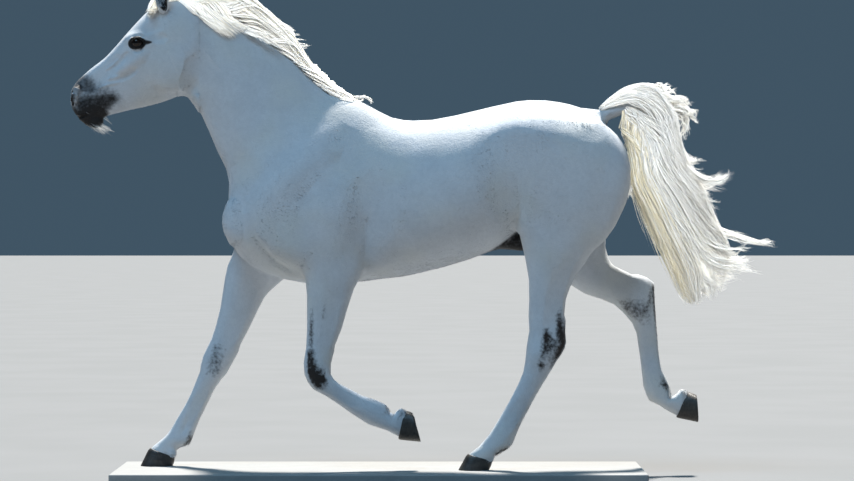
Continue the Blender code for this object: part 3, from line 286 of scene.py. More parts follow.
NECK = (
    (-0.928, 1.846, -0.864, 1.510, 0.056, 0.00, 2.0, 2.0),    # poll and throat
    (-0.840, 1.856, -0.852, 1.488, 0.067, -0.10, 1.8, 2.0),
    (-0.740, 1.826, -0.840, 1.468, 0.071, -0.10, 1.7, 2.0),
    (-0.640, 1.776, -0.820, 1.440, 0.074, -0.15, 1.6, 2.0),
    (-0.552, 1.716, -0.796, 1.400, 0.076, -0.15, 1.6, 2.0),
    (-0.460, 1.648, -0.768, 1.340, 0.083, -0.15, 1.55, 2.0),
    (-0.388, 1.584, -0.736, 1.264, 0.094, -0.15, 1.55, 2.0),
    (-0.320, 1.520, -0.694, 1.176, 0.111, -0.20, 1.55, 2.0),
    (-0.240, 1.464, -0.666, 1.076, 0.134, -0.20, 1.55, 2.0),
    (-0.152, 1.416, -0.646, 0.956, 0.150, -0.20, 1.7, 2.0),
    (-0.088, 1.336, -0.568, 0.856, 0.135, -0.20, 1.9, 2.0),   # buried in the breast
)
HEAD = (
    (-0.890, 1.846, -0.812, 1.656, 0.045, 0.00, 2.0, 2.0),    # behind the ears
    (-0.940, 1.850, -0.804, 1.592, 0.064, 0.10, 2.0, 2.0),
    (-0.980, 1.836, -0.808, 1.536, 0.074, 0.15, 2.0, 2.0),
    (-1.016, 1.808, -0.840, 1.496, 0.081, 0.25, 2.2, 2.0),
    (-1.060, 1.762, -0.896, 1.470, 0.084, 0.30, 2.4, 2.0),    # brow and jowl
    (-1.104, 1.713, -0.956, 1.448, 0.078, 0.30, 2.4, 2.0),
    (-1.144, 1.667, -1.016, 1.432, 0.064, 0.20, 2.3, 2.0),
    (-1.184, 1.626, -1.072, 1.420, 0.054, 0.10, 2.2, 2.0),    # dish of the face
    (-1.228, 1.592, -1.120, 1.408, 0.047, 0.05, 2.2, 2.0),
    (-1.264, 1.562, -1.160, 1.398, 0.043, 0.00, 2.2, 2.0),
    (-1.296, 1.530, -1.196, 1.382, 0.042, 0.00, 2.2, 2.0),
    (-1.315, 1.496, -1.228, 1.368, 0.042, 0.00, 2.2, 2.0),    # nostrils
    (-1.320, 1.458, -1.256, 1.362, 0.036, 0.00, 2.1, 2.0),
    (-1.312, 1.424, -1.280, 1.376, 0.024, 0.00, 2.0, 2.0),    # upper lip
)
FORE_LEFT = (                                                 # folded under the breast
    (-0.545, 1.007, -0.197, 1.054, 0.062),
    (-0.474, 0.884, -0.149, 0.884, 0.070),
    (-0.390, 0.785, -0.149, 0.773, 0.066),                    # elbow
    (-0.371, 0.698, -0.181, 0.702, 0.057),
    (-0.369, 0.619, -0.207, 0.619, 0.050),
    (-0.369, 0.540, -0.231, 0.540, 0.044),
    (-0.374, 0.465, -0.259, 0.469, 0.039),
    (-0.379, 0.405, -0.277, 0.417, 0.040),                    # knee
    (-0.373, 0.354, -0.276, 0.378, 0.042),
    (-0.347, 0.310, -0.264, 0.354, 0.040),
    (-0.299, 0.283, -0.240, 0.332, 0.033),
    (-0.252, 0.253, -0.195, 0.309, 0.028),
    (-0.197, 0.214, -0.145, 0.283, 0.026),
    (-0.147, 0.180, -0.092, 0.267, 0.030),
    (-0.114, 0.164, -0.052, 0.245, 0.034),                    # fetlock
    (-0.080, 0.153, -0.039, 0.218, 0.031),
    (-0.044, 0.140, -0.023, 0.210, 0.0285),
    (-0.003, 0.119, 0.005, 0.229, 0.034),                     # coronet
)
FORE_RIGHT = (                                                # reaching forward, on the ground
    (-0.648, 1.009, -0.365, 1.038, 0.062),
    (-0.672, 0.864, -0.422, 0.807, 0.066),
    (-0.701, 0.791, -0.482, 0.730, 0.060),
    (-0.713, 0.718, -0.537, 0.680, 0.053),
    (-0.725, 0.641, -0.571, 0.621, 0.048),
    (-0.743, 0.564, -0.608, 0.544, 0.043),
    (-0.767, 0.493, -0.648, 0.471, 0.039),
    (-0.796, 0.429, -0.683, 0.407, 0.040),                    # knee
    (-0.809, 0.374, -0.710, 0.354, 0.041),
    (-0.832, 0.312, -0.751, 0.293, 0.034),
    (-0.865, 0.243, -0.783, 0.225, 0.028),
    (-0.901, 0.182, -0.814, 0.162, 0.027),
    (-0.929, 0.134, -0.832, 0.112, 0.032),
    (-0.953, 0.105, -0.846, 0.079, 0.035),                    # fetlock
    (-0.982, 0.081, -0.887, 0.061, 0.031),
    (-1.010, 0.055, -0.921, 0.035, 0.036),                    # coronet
)
HIND_LEFT = (                                                 # under the body, on the ground
    (0.428, 1.378, 0.784, 1.362, 0.055),
    (0.397, 1.291, 0.855, 1.283, 0.085),
    (0.408, 1.192, 0.895, 1.200, 0.105),
    (0.428, 1.094, 0.889, 1.086, 0.112),
    (0.460, 0.979, 0.844, 0.995, 0.106),                      # stifle and buttock
    (0.479, 0.898, 0.790, 0.912, 0.092),
    (0.497, 0.817, 0.744, 0.821, 0.077),
    (0.509, 0.742, 0.691, 0.742, 0.062),
    (0.511, 0.671, 0.663, 0.675, 0.052),
    (0.509, 0.603, 0.653, 0.600, 0.046),
    (0.511, 0.544, 0.652, 0.532, 0.044),
    (0.502, 0.479, 0.654, 0.473, 0.046),                      # hock
    (0.495, 0.418, 0.620, 0.414, 0.042),
    (0.485, 0.368, 0.586, 0.358, 0.034),
    (0.462, 0.319, 0.543, 0.287, 0.030),
    (0.414, 0.230, 0.491, 0.190, 0.0265),
    (0.375, 0.163, 0.468, 0.143, 0.030),
    (0.339, 0.111, 0.444, 0.086, 0.036),                      # fetlock
    (0.308, 0.078, 0.395, 0.056, 0.031),
    (0.272, 0.050, 0.363, 0.036, 0.037),                      # coronet
)
HIND_RIGHT = (                                                # pushed off behind
    (0.464, 1.390, 0.808, 1.374, 0.055),
    (0.436, 1.301, 0.860, 1.293, 0.085),
    (0.452, 1.200, 0.880, 1.208, 0.103),
    (0.484, 1.098, 0.868, 1.098, 0.110),
    (0.525, 0.969, 0.852, 1.009, 0.106),
    (0.569, 0.847, 0.832, 0.928, 0.095),
    (0.626, 0.762, 0.832, 0.864, 0.082),
    (0.691, 0.714, 0.853, 0.807, 0.069),
    (0.755, 0.677, 0.905, 0.777, 0.058),
    (0.816, 0.657, 0.954, 0.756, 0.050),
    (0.865, 0.635, 0.998, 0.742, 0.046),
    (0.905, 0.599, 1.025, 0.718, 0.047),                      # hock
    (0.934, 0.566, 1.030, 0.653, 0.045),
    (0.952, 0.526, 1.035, 0.584, 0.038),
    (0.960, 0.477, 1.041, 0.508, 0.031),
    (0.968, 0.423, 1.046, 0.435, 0.028),
    (0.975, 0.366, 1.059, 0.376, 0.0295),
    (0.983, 0.305, 1.087, 0.317, 0.034),                      # fetlock
    (1.002, 0.253, 1.093, 0.283, 0.034),
    (1.041, 0.232, 1.097, 0.265, 0.030),
    (1.079, 0.208, 1.114, 0.275, 0.031),
    (1.121, 0.187, 1.144, 0.289, 0.037),                      # coronet
)
DOCK = oval_sections((
    (0.744, 1.418, 0.752, 1.336, 0.045),
    (0.792, 1.420, 0.808, 1.368, 0.036),
    (0.832, 1.436, 0.848, 1.384, 0.031),
    (0.888, 1.454, 0.896, 1.400, 0.028),
    (0.944, 1.458, 0.944, 1.408, 0.025),
    (0.996, 1.444, 0.980, 1.396, 0.022),
    (1.036, 1.408, 1.004, 1.368, 0.018),
    (1.056, 1.360, 1.028, 1.344, 0.012),
))
LEGS = {                                                      # rows, side, y at the top and at the foot
    "foreleg_left": (FORE_LEFT, -1, 0.125, 0.125),
    "foreleg_right": (FORE_RIGHT, 1, 0.125, 0.115),
    "hindleg_left": (HIND_LEFT, -1, 0.130, 0.125),
    "hindleg_right": (HIND_RIGHT, 1, 0.130, 0.140),
}
HOOVES = {                                  # coronet to sole: front (x, z), back (x, z), half width
    "foreleg_left": (
        (-0.006, 0.112, 0.018, 0.220, 0.039),
        (0.004, 0.107, 0.026, 0.222, 0.043),
        (0.041, 0.103, 0.039, 0.220, 0.048),
        (0.084, 0.099, 0.051, 0.214, 0.053),
    ),
    "foreleg_right": (
        (-1.008, 0.060, -0.914, 0.026, 0.039),
        (-1.018, 0.050, -0.910, 0.018, 0.043),
        (-1.034, 0.018, -0.912, 0.002, 0.050),
        (-1.049, -0.012, -0.918, -0.012, 0.054),
    ),
    "hindleg_left": (
        (0.270, 0.052, 0.364, 0.026, 0.038),
        (0.261, 0.042, 0.366, 0.017, 0.042),
        (0.246, 0.014, 0.361, 0.001, 0.048),
        (0.231, -0.012, 0.353, -0.012, 0.052),
    ),
    "hindleg_right": (
        (1.116, 0.182, 1.154, 0.284, 0.038),
        (1.127, 0.178, 1.162, 0.285, 0.042),
        (1.166, 0.170, 1.180, 0.280, 0.047),
        (1.204, 0.162, 1.197, 0.273, 0.051),
    ),
}
SOLE_Z = -0.012                             # level of the two soles on the ground, in these heights
CREST = (                                   # top of the neck, where the mane is rooted
    (-0.952, 1.846), (-0.900, 1.856), (-0.840, 1.858), (-0.740, 1.828), (-0.640, 1.778), (-0.552, 1.720),
    (-0.460, 1.650), (-0.388, 1.586), (-0.320, 1.522), (-0.248, 1.470), (-0.190, 1.446),
)
TAIL = oval_sections((                                    # outer edge, inner edge and half width of its hair
    (0.812, 1.420, 0.836, 1.386, 0.020),
    (0.846, 1.466, 0.872, 1.394, 0.032),
    (0.908, 1.508, 0.880, 1.372, 0.042),
    (0.972, 1.526, 0.872, 1.346, 0.050),
    (1.036, 1.508, 0.884, 1.318, 0.056),
    (1.092, 1.462, 0.897, 1.290, 0.060),
    (1.122, 1.400, 0.908, 1.255, 0.062),
    (1.132, 1.330, 0.920, 1.220, 0.064),
    (1.138, 1.256, 0.922, 1.170, 0.066),
    (1.165, 1.180, 0.930, 1.110, 0.068),
    (1.198, 1.100, 0.955, 1.050, 0.070),
    (1.222, 1.020, 0.985, 0.980, 0.072),
    (1.248, 0.940, 1.015, 0.905, 0.072),
    (1.280, 0.860, 1.050, 0.820, 0.065),
    (1.285, 0.790, 1.085, 0.755, 0.052),
    (1.262, 0.715, 1.112, 0.690, 0.035),
    (1.235, 0.660, 1.150, 0.648, 0.012),
))
MANE_LIFTS = (0.012, 0.034, 0.050, 0.062, 0.060, 0.054, 0.046, 0.026, 0.020, 0.014, 0.010)  # over the crest
MANE_DEPTHS = (0.018, 0.036, 0.048, 0.056, 0.054, 0.046, 0.040, 0.028, 0.020, 0.014, 0.010)
DOCK_ROOM = 0.005                                             # left round the dock inside the tail's hair
EYE = (-1.044, 0.066, 1.682)
EYE_RADIUS = 0.024
HOOF_SIDES = 20


def shrunk(row, share):
    """A leg's row made smaller about its own middle."""
    front_x, front_z, back_x, back_z, half_width = row
    middle_x, middle_z = (front_x + back_x) / 2, (front_z + back_z) / 2
    half_x, half_z = share * (front_x - back_x) / 2, share * (front_z - back_z) / 2
    return (middle_x + half_x, middle_z + half_z, middle_x - half_x, middle_z - half_z, share * half_width)


def between(rows, k, share, y, off=0.0):
    """The point a share of the way from the front to the back of row k, at y, and off metres further on."""
    front_x, front_z, back_x, back_z, _ = rows[k]
    length = hypot(back_x - front_x, back_z - front_z)
    share += off / length
    return (front_x + share * (back_x - front_x), y, front_z + share * (back_z - front_z))


def run_down(rows, first, last, share, y, out, depth, thick, off=0.0):
    """A strand down the rows first to last of a leg, out half widths from its middle plane at y."""
    return strand(
        [(*between(rows, k, share, y + out * rows[k][4], off), depth, thick) for k in range(first, last + 1)]
    )


def add_shoulders(clay, side):
    blade = [(-0.25, 0.090, 1.33, 0.05, 0.024), (-0.36, 0.135, 1.20, 0.065, 0.036),
             (-0.47, 0.155, 1.08, 0.065, 0.040), (-0.575, 0.135, 0.975, 0.055, 0.045)]
    triceps = [(-0.22, 0.142, 1.17, 0.06, 0.028), (-0.25, 0.168, 1.05, 0.10, 0.045),
               (-0.27, 0.170, 0.94, 0.11, 0.045), (-0.25, 0.155, 0.83, 0.07, 0.035)]
    arm = [(-0.58, 0.125, 0.96, 0.06, 0.045), (-0.47, 0.150, 0.90, 0.07, 0.045),
           (-0.35, 0.155, 0.84, 0.06, 0.035)]
    clay.add(side_strand(blade, side), 0.06)
    clay.add(side_strand(triceps, side), 0.04)
    clay.add(side_strand(arm, side), 0.05)
    breast = [(-0.64, 0.055, 1.06, 0.04, 0.05), (-0.655, 0.062, 0.97, 0.055, 0.06),
              (-0.62, 0.075, 0.88, 0.05, 0.05)]
    clay.add(side_strand(breast, side), 0.03)
    behind_elbow = [(-0.110, 0.238, 1.14, 0.030, 0.018), (-0.115, 0.238, 1.03, 0.035, 0.026),
                    (-0.130, 0.222, 0.93, 0.035, 0.028), (-0.150, 0.196, 0.85, 0.030, 0.026),
                    (-0.165, 0.160, 0.78, 0.018, 0.018)]
    clay.carve(side_strand(behind_elbow, side), 0.09)


def carve_neck(clay, side):
    """The groove of the jugular vein, down the neck to the breast."""
    jugular = [(-0.82, 0.068, 1.50, 0.012, 0.010), (-0.74, 0.094, 1.38, 0.014, 0.012),
               (-0.69, 0.116, 1.26, 0.012, 0.010)]
    clay.carve(side_strand(jugular, side), 0.04)


def add_haunches(clay, side):
    rump = [(0.44, 0.12, 1.32, 0.05, 0.05), (0.55, 0.145, 1.30, 0.08, 0.06),
            (0.66, 0.155, 1.26, 0.09, 0.065), (0.76, 0.145, 1.20, 0.085, 0.060)]
    ham = [(0.74, 0.095, 1.36, 0.05, 0.05), (0.83, 0.112, 1.25, 0.065, 0.065),
           (0.848, 0.125, 1.13, 0.065, 0.07), (0.805, 0.135, 1.00, 0.065, 0.06),
           (0.73, 0.140, 0.86, 0.05, 0.045)]
    thigh = [(0.53, 0.165, 1.27, 0.07, 0.05), (0.53, 0.175, 1.14, 0.10, 0.055),
             (0.53, 0.160, 1.02, 0.08, 0.05), (0.51, 0.145, 0.93, 0.05, 0.04)]
    if side > 0:                                              # this leg is stretched out behind
        ham = [(x - 0.02, y, z, depth, thick) for x, y, z, depth, thick in ham[:3]]
        thigh = [(x + 0.03, y, z, depth, thick) for x, y, z, depth, thick in thigh]
    clay.add(side_strand(rump, side), 0.06)
    clay.add(side_strand(ham, side), 0.04)
    clay.add(side_strand(thigh, side), 0.06)
    hip = pebble((0.500, side * 0.186, 1.320), (0.08, 0.045, 0.050))
    clay.add(hip, 0.08)
    flank = [(0.385, 0.300, 1.36, 0.05, 0.022), (0.410, 0.302, 1.24, 0.06, 0.026),
             (0.430, 0.292, 1.12, 0.05, 0.028), (0.435, 0.258, 1.02, 0.03, 0.024)]
    clay.carve(side_strand(flank, side), 0.10)


def add_foreleg(clay, rows, y, knee):
    """Knee, tendons and fetlock of a foreleg; knee is the row at its middle."""
    clay.add(run_down(rows, knee - 1, knee + 1, 0.30, y, 0.1, 0.026, 0.036), 0.02)
    clay.add(run_down(rows, knee - 1, knee + 1, 1.0, y, 0.0, 0.013, 0.014, -0.012), 0.025)
    for out in (-1, 1):
        clay.carve(run_down(rows, knee - 4, knee - 1, 0.62, y, out * 1.12, 0.008, 0.008), 0.03)
        clay.carve(run_down(rows, knee + 2, knee + 5, 0.56, y, out * 1.20, 0.007, 0.009), 0.02)


def add_hindleg(clay, rows, y, hock):
    """Hock, tendons and fetlock of a hind leg; hock is the row at its middle."""
    clay.add(run_down(rows, hock - 2, hock, 1.0, y, 0.0, 0.018, 0.016, -0.016), 0.02)
    clay.add(run_down(rows, hock, hock + 1, 0.35, y, 0.0, 0.030, 0.040), 0.03)
    for out in (-1, 1):
        clay.carve(run_down(rows, hock - 5, hock - 1, 0.70, y, out * 1.15, 0.013, 0.014), 0.04)
        clay.carve(run_down(rows, hock + 3, hock + 5, 0.56, y, out * 1.20, 0.007, 0.009), 0.02)


def add_heels(clay, leg, y):
    """The two soft bulbs above the heels of a hoof."""
    top, lower = (np.array(row) for row in HOOVES[leg][:2])
    up = unit(top[:2] + top[2:4] - lower[:2] - lower[2:4])
    back = unit(top[2:4] - top[:2])
    x, z = top[2:4] + 0.010 * up - 0.012 * back
    for out in (-1, 1):
        clay.add(pebble((x, y + 0.016 * out, z), (0.021, 0.018, 0.021)), 0.012)


def add_head(clay):
    clay.add(body_loft(HEAD), 0.035)
    chin = pebble((-1.222, 0.0, 1.374), (0.038, 0.026, 0.027))
    clay.add(chin, 0.012)
    for side in (-1, 1):
        cheek = pebble((-0.905, side * 0.052, 1.585), (0.098, 0.032, 0.092))
        clay.add(cheek, 0.03)
        brow = [(-1.085, 0.047, 1.690, 0.014, 0.012), (-1.060, 0.061, 1.699, 0.016, 0.013),
                (-1.020, 0.065, 1.699, 0.016, 0.012), (-0.985, 0.059, 1.687, 0.013, 0.011)]
        clay.add(side_strand(brow, side), 0.03)
        crest = [(-1.010, 0.074, 1.640, 0.012, 0.010), (-1.070, 0.064, 1.600, 0.012, 0.011),
                 (-1.120, 0.053, 1.570, 0.010, 0.009)]
        clay.add(side_strand(crest, side), 0.025)
        temple = pebble((-0.985, side * 0.082, 1.745), (0.022, 0.010, 0.018))
        clay.carve(temple, 0.03)
        nose_side = [(-1.130, 0.058, 1.620, 0.020, 0.006), (-1.190, 0.053, 1.560, 0.022, 0.008),
                     (-1.245, 0.050, 1.510, 0.016, 0.006)]
        clay.carve(side_strand(nose_side, side), 0.03)
        nostril_wing = [(-1.285, 0.034, 1.510, 0.014, 0.012), (-1.298, 0.040, 1.480, 0.017, 0.013),
                        (-1.300, 0.034, 1.445, 0.014, 0.012)]
        clay.add(side_strand(nostril_wing, side), 0.02)
        nostril = [(-1.303, 0.034, 1.495, 0.005, 0.007), (-1.316, 0.037, 1.472, 0.009, 0.012),
                   (-1.321, 0.028, 1.445, 0.007, 0.010)]
        clay.carve(side_strand(nostril, side), 0.010)
        lips = [(-1.300, 0.004, 1.391, 0.0045, 0.010), (-1.272, 0.034, 1.390, 0.0045, 0.009),
                (-1.232, 0.043, 1.402, 0.0045, 0.008), (-1.192, 0.046, 1.424, 0.0035, 0.006)]
        clay.carve(side_strand(lips, side), 0.006)
        throat = [(-0.800, 0.088, 1.610, 0.014, 0.004), (-0.806, 0.088, 1.555, 0.020, 0.008),
                  (-0.832, 0.076, 1.505, 0.014, 0.010)]
        clay.carve(side_strand(throat, side), 0.06)


def horse_clay(voxel, reach=0.09):
    clay = Clay((-1.40, -0.36, -0.02), (1.22, 0.36, 1.95), voxel, reach)
    clay.add(body_loft(TRUNK), 0.01)
    clay.add(body_loft(NECK), 0.08)
    sheath = [(0.345, 0.0, 0.890, 0.022, 0.030), (0.400, 0.0, 0.893, 0.028, 0.034),
              (0.465, 0.0, 0.887, 0.031, 0.036), (0.510, 0.0, 0.890, 0.031, 0.034),
              (0.550, 0.0, 0.920, 0.024, 0.028)]
    clay.add(strand(sheath), 0.025)
    for side in (-1, 1):
        add_shoulders(clay, side)
        carve_neck(clay, side)
        add_haunches(clay, side)
    for name, (rows, side, y_top, y_low) in LEGS.items():
        in_hoof = tuple((a + b) / 2 for a, b in zip(HOOVES[name][1], HOOVES[name][2]))
        clay.add(limb_loft((*rows, shrunk(in_hoof, 0.8)), side * y_top, side * y_low), 0.035)
        y = side * (y_top + y_low) / 2
        if "fore" in name:
            add_foreleg(clay, rows, y, 7)
        else:
            add_hindleg(clay, rows, y, 11)
        add_heels(clay, name, side * y_low)
    add_head(clay)
    for side in (-1, 1):
        add_eyelids(clay, side)
    clay.add(body_loft(DOCK), 0.03)
    return clay


def add_eyelids(clay, side):
    """A ball of lids round the eyeball, open in an almond whose corners lie along the head."""
    x, y, z = EYE
    clay.add(pebble((x, side * y, z), (EYE_RADIUS + 0.0035,) * 3), 0.012)
    opening = [(x - 0.021, y + 0.014, z - 0.007, 0.003, 0.008),
               (x - 0.012, y + 0.021, z - 0.002, 0.012, 0.008),
               (x, y + 0.025, z, 0.016, 0.008),
               (x + 0.012, y + 0.021, z, 0.012, 0.008),
               (x + 0.024, y + 0.012, z - 0.001, 0.003, 0.008)]
    clay.carve(side_strand(opening, side), 0.003)


def ear_root(side):
    return np.array((-0.942, side * 0.060, 1.828))


def ear_clay(side, voxel):
    """A pricked ear: a leaf, hollowed from the front and outside."""
    root = ear_root(side)
    clay = Clay(root - 0.07, root + (0.07, 0.07, 0.19), voxel, 6 * voxel)
    leaf = [(0.000, -0.008, -0.030, 0.022, 0.021), (-0.002, 0.000, 0.010, 0.024, 0.022),
            (-0.006, 0.008, 0.050, 0.029, 0.024), (-0.010, 0.014, 0.090, 0.025, 0.020),
            (-0.016, 0.016, 0.125, 0.014, 0.012), (-0.024, 0.015, 0.152, 0.004, 0.004)]
    hollow = [(0.013, 0.020, -0.012, 0.004, 0.005), (0.000, 0.021, 0.010, 0.011, 0.011),
              (-0.013, 0.023, 0.036, 0.020, 0.018),
              (-0.020, 0.028, 0.065, 0.023, 0.020), (-0.022, 0.030, 0.095, 0.018, 0.018),
              (-0.026, 0.026, 0.125, 0.009, 0.012), (-0.030, 0.020, 0.143, 0.003, 0.005)]
    for rows, work, blend in ((leaf, clay.add, 0.002), (hollow, clay.carve, 0.004)):
        placed = [(root[0] + x, root[1] + side * y, root[2] + z, *sizes) for x, y, z, *sizes in rows]
        work(strand(placed), blend)
    return clay


def hoof_loft(rows, y, sides=HOOF_SIDES):
    """A hoof: rounded at the toe, narrower towards the heels."""
    angle = np.linspace(0, 2 * pi, sides, endpoint=False)
    up, out = oval(angle, 2.3)
    out = out * (1 - 0.13 * (1 - up) / 2)
    rings = []
    for front_x, front_z, back_x, back_z, half_width in rows:
        half = np.array([front_x - back_x, 0, front_z - back_z]) / 2
        middle = np.array([front_x + back_x, 2 * y, front_z + back_z]) / 2
        rings.append(middle + np.outer(up, half) + np.outer(out * half_width, (0, 1, 0)))
    return skin_over(rings)


def mane_clay(voxel):
    """The mane: blown up and back off the crest, and falling down the right side of the neck."""
    clay = Clay((-1.00, -0.09, 1.25), (-0.08, 0.22, 2.02), voxel, 6 * voxel)
    ridge = [(x + 0.3 * lift, 0.012, z + lift, depth, 0.26 * depth + 0.012)
             for (x, z), lift, depth in zip(CREST, MANE_LIFTS, MANE_DEPTHS)]
    clay.add(strand(ridge), 0.01)
    flying = [(-0.56, 0.015, 1.800, 0.032, 0.018), (-0.46, 0.018, 1.745, 0.028, 0.014),
              (-0.39, 0.022, 1.700, 0.016, 0.010), (-0.345, 0.026, 1.680, 0.006, 0.005)]
    clay.add(strand(flying), 0.01)
    wisp = [(-0.24, 0.010, 1.480, 0.016, 0.010), (-0.17, 0.016, 1.470, 0.010, 0.008),
            (-0.120, 0.022, 1.484, 0.004, 0.004)]
    clay.add(strand(wisp), 0.01)
    heights = [(x, z, lift + depth) for (x, z), lift, depth in zip(CREST, MANE_LIFTS, MANE_DEPTHS)]
    for k, (x, z, height) in enumerate(curve_through(heights[2:-1], 2)):
        reach = 1.0 + 0.12 * sin(2.4 * k)                     # uneven ends
        deep = 0.010 + 0.36 * height
        fall = [(x + 0.01, 0.020, z + 0.3 * height, deep, 0.018), (x + 0.04, 0.062, z - 0.010, 0.044, 0.016),
                (x + 0.07, 0.088, z - 0.075 * reach, 0.040, 0.014),
                (x + 0.09, 0.104, z - 0.140 * reach, 0.030, 0.012),
                (x + 0.10, 0.112, z - 0.205 * reach, 0.010, 0.008)]
        clay.add(strand(fall), 0.02)
    return clay


def forelock_clay(voxel):
    """The forelock, between the ears and down the forehead."""
    clay = Clay((-1.08, -0.10, 1.70), (-0.86, 0.10, 1.95), voxel, 6 * voxel)
    for y_end, length in ((-0.050, 1.0), (-0.025, 1.2), (0.005, 1.25), (0.035, 1.0)):
        lock = [(-0.915, 0.1 * y_end, 1.868, 0.016, 0.022), (-0.958, 0.5 * y_end, 1.874, 0.016, 0.020),
                (-0.958 - 0.032 * length, 0.9 * y_end, 1.874 - 0.030 * length, 0.013, 0.016),
                (-0.958 - 0.045 * length, y_end, 1.874 - 0.068 * length, 0.005, 0.006)]
        clay.add(strand(lock), 0.006)
    return clay


def tail_clay(voxel):
    """The hair of the tail, with wisps blown out behind it."""
    clay = Clay((0.78, -0.13, 0.60), (1.58, 0.13, 1.58), voxel, 6 * voxel)
    clay.add(body_loft(TAIL), 0.01)
    wisps = (
        [(1.08, -0.01, 1.260, 0.030, 0.022), (1.18, -0.02, 1.185, 0.022, 0.016),
         (1.27, -0.03, 1.158, 0.012, 0.010), (1.330, -0.035, 1.172, 0.004, 0.004)],
        [(1.12, 0.02, 1.160, 0.030, 0.022), (1.22, 0.02, 1.085, 0.020, 0.014),
         (1.308, 0.02, 1.076, 0.004, 0.004)],
        [(1.16, 0.00, 1.010, 0.040, 0.026), (1.28, 0.01, 0.930, 0.028, 0.018),
         (1.40, 0.01, 0.900, 0.012, 0.010), (1.510, 0.01, 0.872, 0.004, 0.004)],
        [(1.16, -0.02, 0.920, 0.040, 0.026), (1.28, -0.02, 0.840, 0.032, 0.020),
         (1.38, -0.02, 0.800, 0.018, 0.012), (1.455, -0.02, 0.795, 0.004, 0.004)],
        [(1.16, 0.02, 0.860, 0.040, 0.026), (1.27, 0.02, 0.775, 0.024, 0.016),
         (1.36, 0.02, 0.750, 0.004, 0.004)],
        [(1.18, 0.00, 0.780, 0.034, 0.022), (1.23, 0.00, 0.710, 0.020, 0.014),
         (1.266, 0.00, 0.656, 0.004, 0.004)],
    )
    for rows in wisps:
        clay.add(strand(rows), 0.01)
    room = [(ax, az + DOCK_ROOM, bx, bz - DOCK_ROOM, half_width + DOCK_ROOM, *shape)
            for ax, az, bx, bz, half_width, *shape in DOCK]
    clay.carve(body_loft(room), 0.004)
    return clay


# ---------------------------------------------------------------- from the heights above to the model's frame
BASE_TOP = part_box("stand_base")[1][2]
ORIGIN_X = -0.08
LIFT = np.array((-ORIGIN_X, 0, BASE_TOP + GAP - SOLE_Z))
random = np.random.default_rng(SEED)


# ---------------------------------------------------------------- meshes
def mesh_object(name, points, faces, material=None):
    """An object of those points and equal-sided faces, placed in the model's frame."""
    points = np.asarray(points, np.float32) + LIFT.astype(np.float32)
    faces = np.asarray(faces, np.int32)
    count, corners = faces.shape
    mesh = bpy.data.meshes.new(name)
    mesh.vertices.add(len(points))
    mesh.vertices.foreach_set("co", points.ravel())
    mesh.loops.add(count * corners)
    mesh.loops.foreach_set("vertex_index", faces.ravel())
    mesh.polygons.add(count)
    mesh.polygons.foreach_set("loop_start", np.arange(0, count * corners, corners, dtype=np.int32))
    mesh.update(calc_edges=True)
    mesh.shade_smooth()
    if material:
        mesh.materials.append(material)
    made = bpy.data.objects.new(name, mesh)
    bpy.context.scene.collection.objects.link(made)
    return made


def points_of(mesh):
    """A mesh's points, back in the heights' frame."""
    points = np.empty(len(mesh.vertices) * 3, np.float32)
    mesh.vertices.foreach_get("co", points)
    return points.reshape(-1, 3) - LIFT


def normals_of(mesh):
    normals = np.empty(len(mesh.vertices) * 3, np.float32)
    mesh.vertex_normals.foreach_get("vector", normals)
    return normals.reshape(-1, 3)


def triangles_of(mesh):
    mesh.calc_loop_triangles()
    triangles = np.empty(len(mesh.loop_triangles) * 3, np.int32)
    mesh.loop_triangles.foreach_get("vertices", triangles)
    return triangles.reshape(-1, 3)


def set_points(mesh, points):
    mesh.vertices.foreach_set("co", (points + LIFT).astype(np.float32).ravel())
    mesh.update()


def settle(obj):
    """Puts the outcome of an object's modifiers in its mesh."""
    graph = bpy.context.evaluated_depsgraph_get()
    graph.update()
    mesh = bpy.data.meshes.new_from_object(obj.evaluated_get(graph))
    obj.modifiers.clear()
    obj.data = mesh


def thin(obj, triangles, shares=None):
    """Collapses edges until about that many triangles are left. Shares say how readily each point goes."""
    now = len(triangles_of(obj.data))
    if now <= triangles:
        return
    thinner = obj.modifiers.new("thin", "DECIMATE")
    thinner.ratio = triangles / now
    if shares is not None:
        group = obj.vertex_groups.new(name="thinned")
        steps = np.round(shares * 10).astype(int)
        for step in np.unique(steps):
            group.add(np.flatnonzero(steps == step).tolist(), step / 10, "REPLACE")
        thinner.vertex_group = group.name
    settle(obj)
    obj.vertex_groups.clear()
    obj.data.shade_smooth()


def paint_points(mesh, name, values):
    """Stores up to three values a point in a colour attribute."""
    colours = np.ones((len(mesh.vertices), 4), np.float32)
    colours[:, :3] = 0
    colours[:, : values.shape[1]] = values
    layer = mesh.color_attributes.new(name, "FLOAT_COLOR", "POINT")
    layer.data.foreach_set("color", colours.ravel())


def step_between(low, high, values):
    """0 below low and 1 above high, with a smooth rise between."""
    t = np.clip((values - low) / (high - low), 0, 1)
    return t * t * (3 - 2 * t)


def unit(vectors):
    return vectors / np.maximum(np.linalg.norm(vectors, axis=-1, keepdims=True), 1e-9)


def folded(points):
    """Points with the left side laid on the right one, so that y counts out from the middle."""
    return points * (1, 0, 1) + np.abs(points) * (0, 1, 0)


def near_strand(points, rows, soft=0.4, mirrored_too=True):
    """1 inside a chain of balls through the rows (x, y, z, radius), fading to 0 outside over soft of the
    radius. Mirrored_too has it on both sides."""
    points = folded(points) if mirrored_too else points
    found = np.zeros(len(points))
    for *middle, radius in curve_through(rows, 5):
        away = np.linalg.norm(points - middle, axis=1) / radius
        found = np.maximum(found, 1 - step_between(1 - soft, 1 + soft, away))
    return found


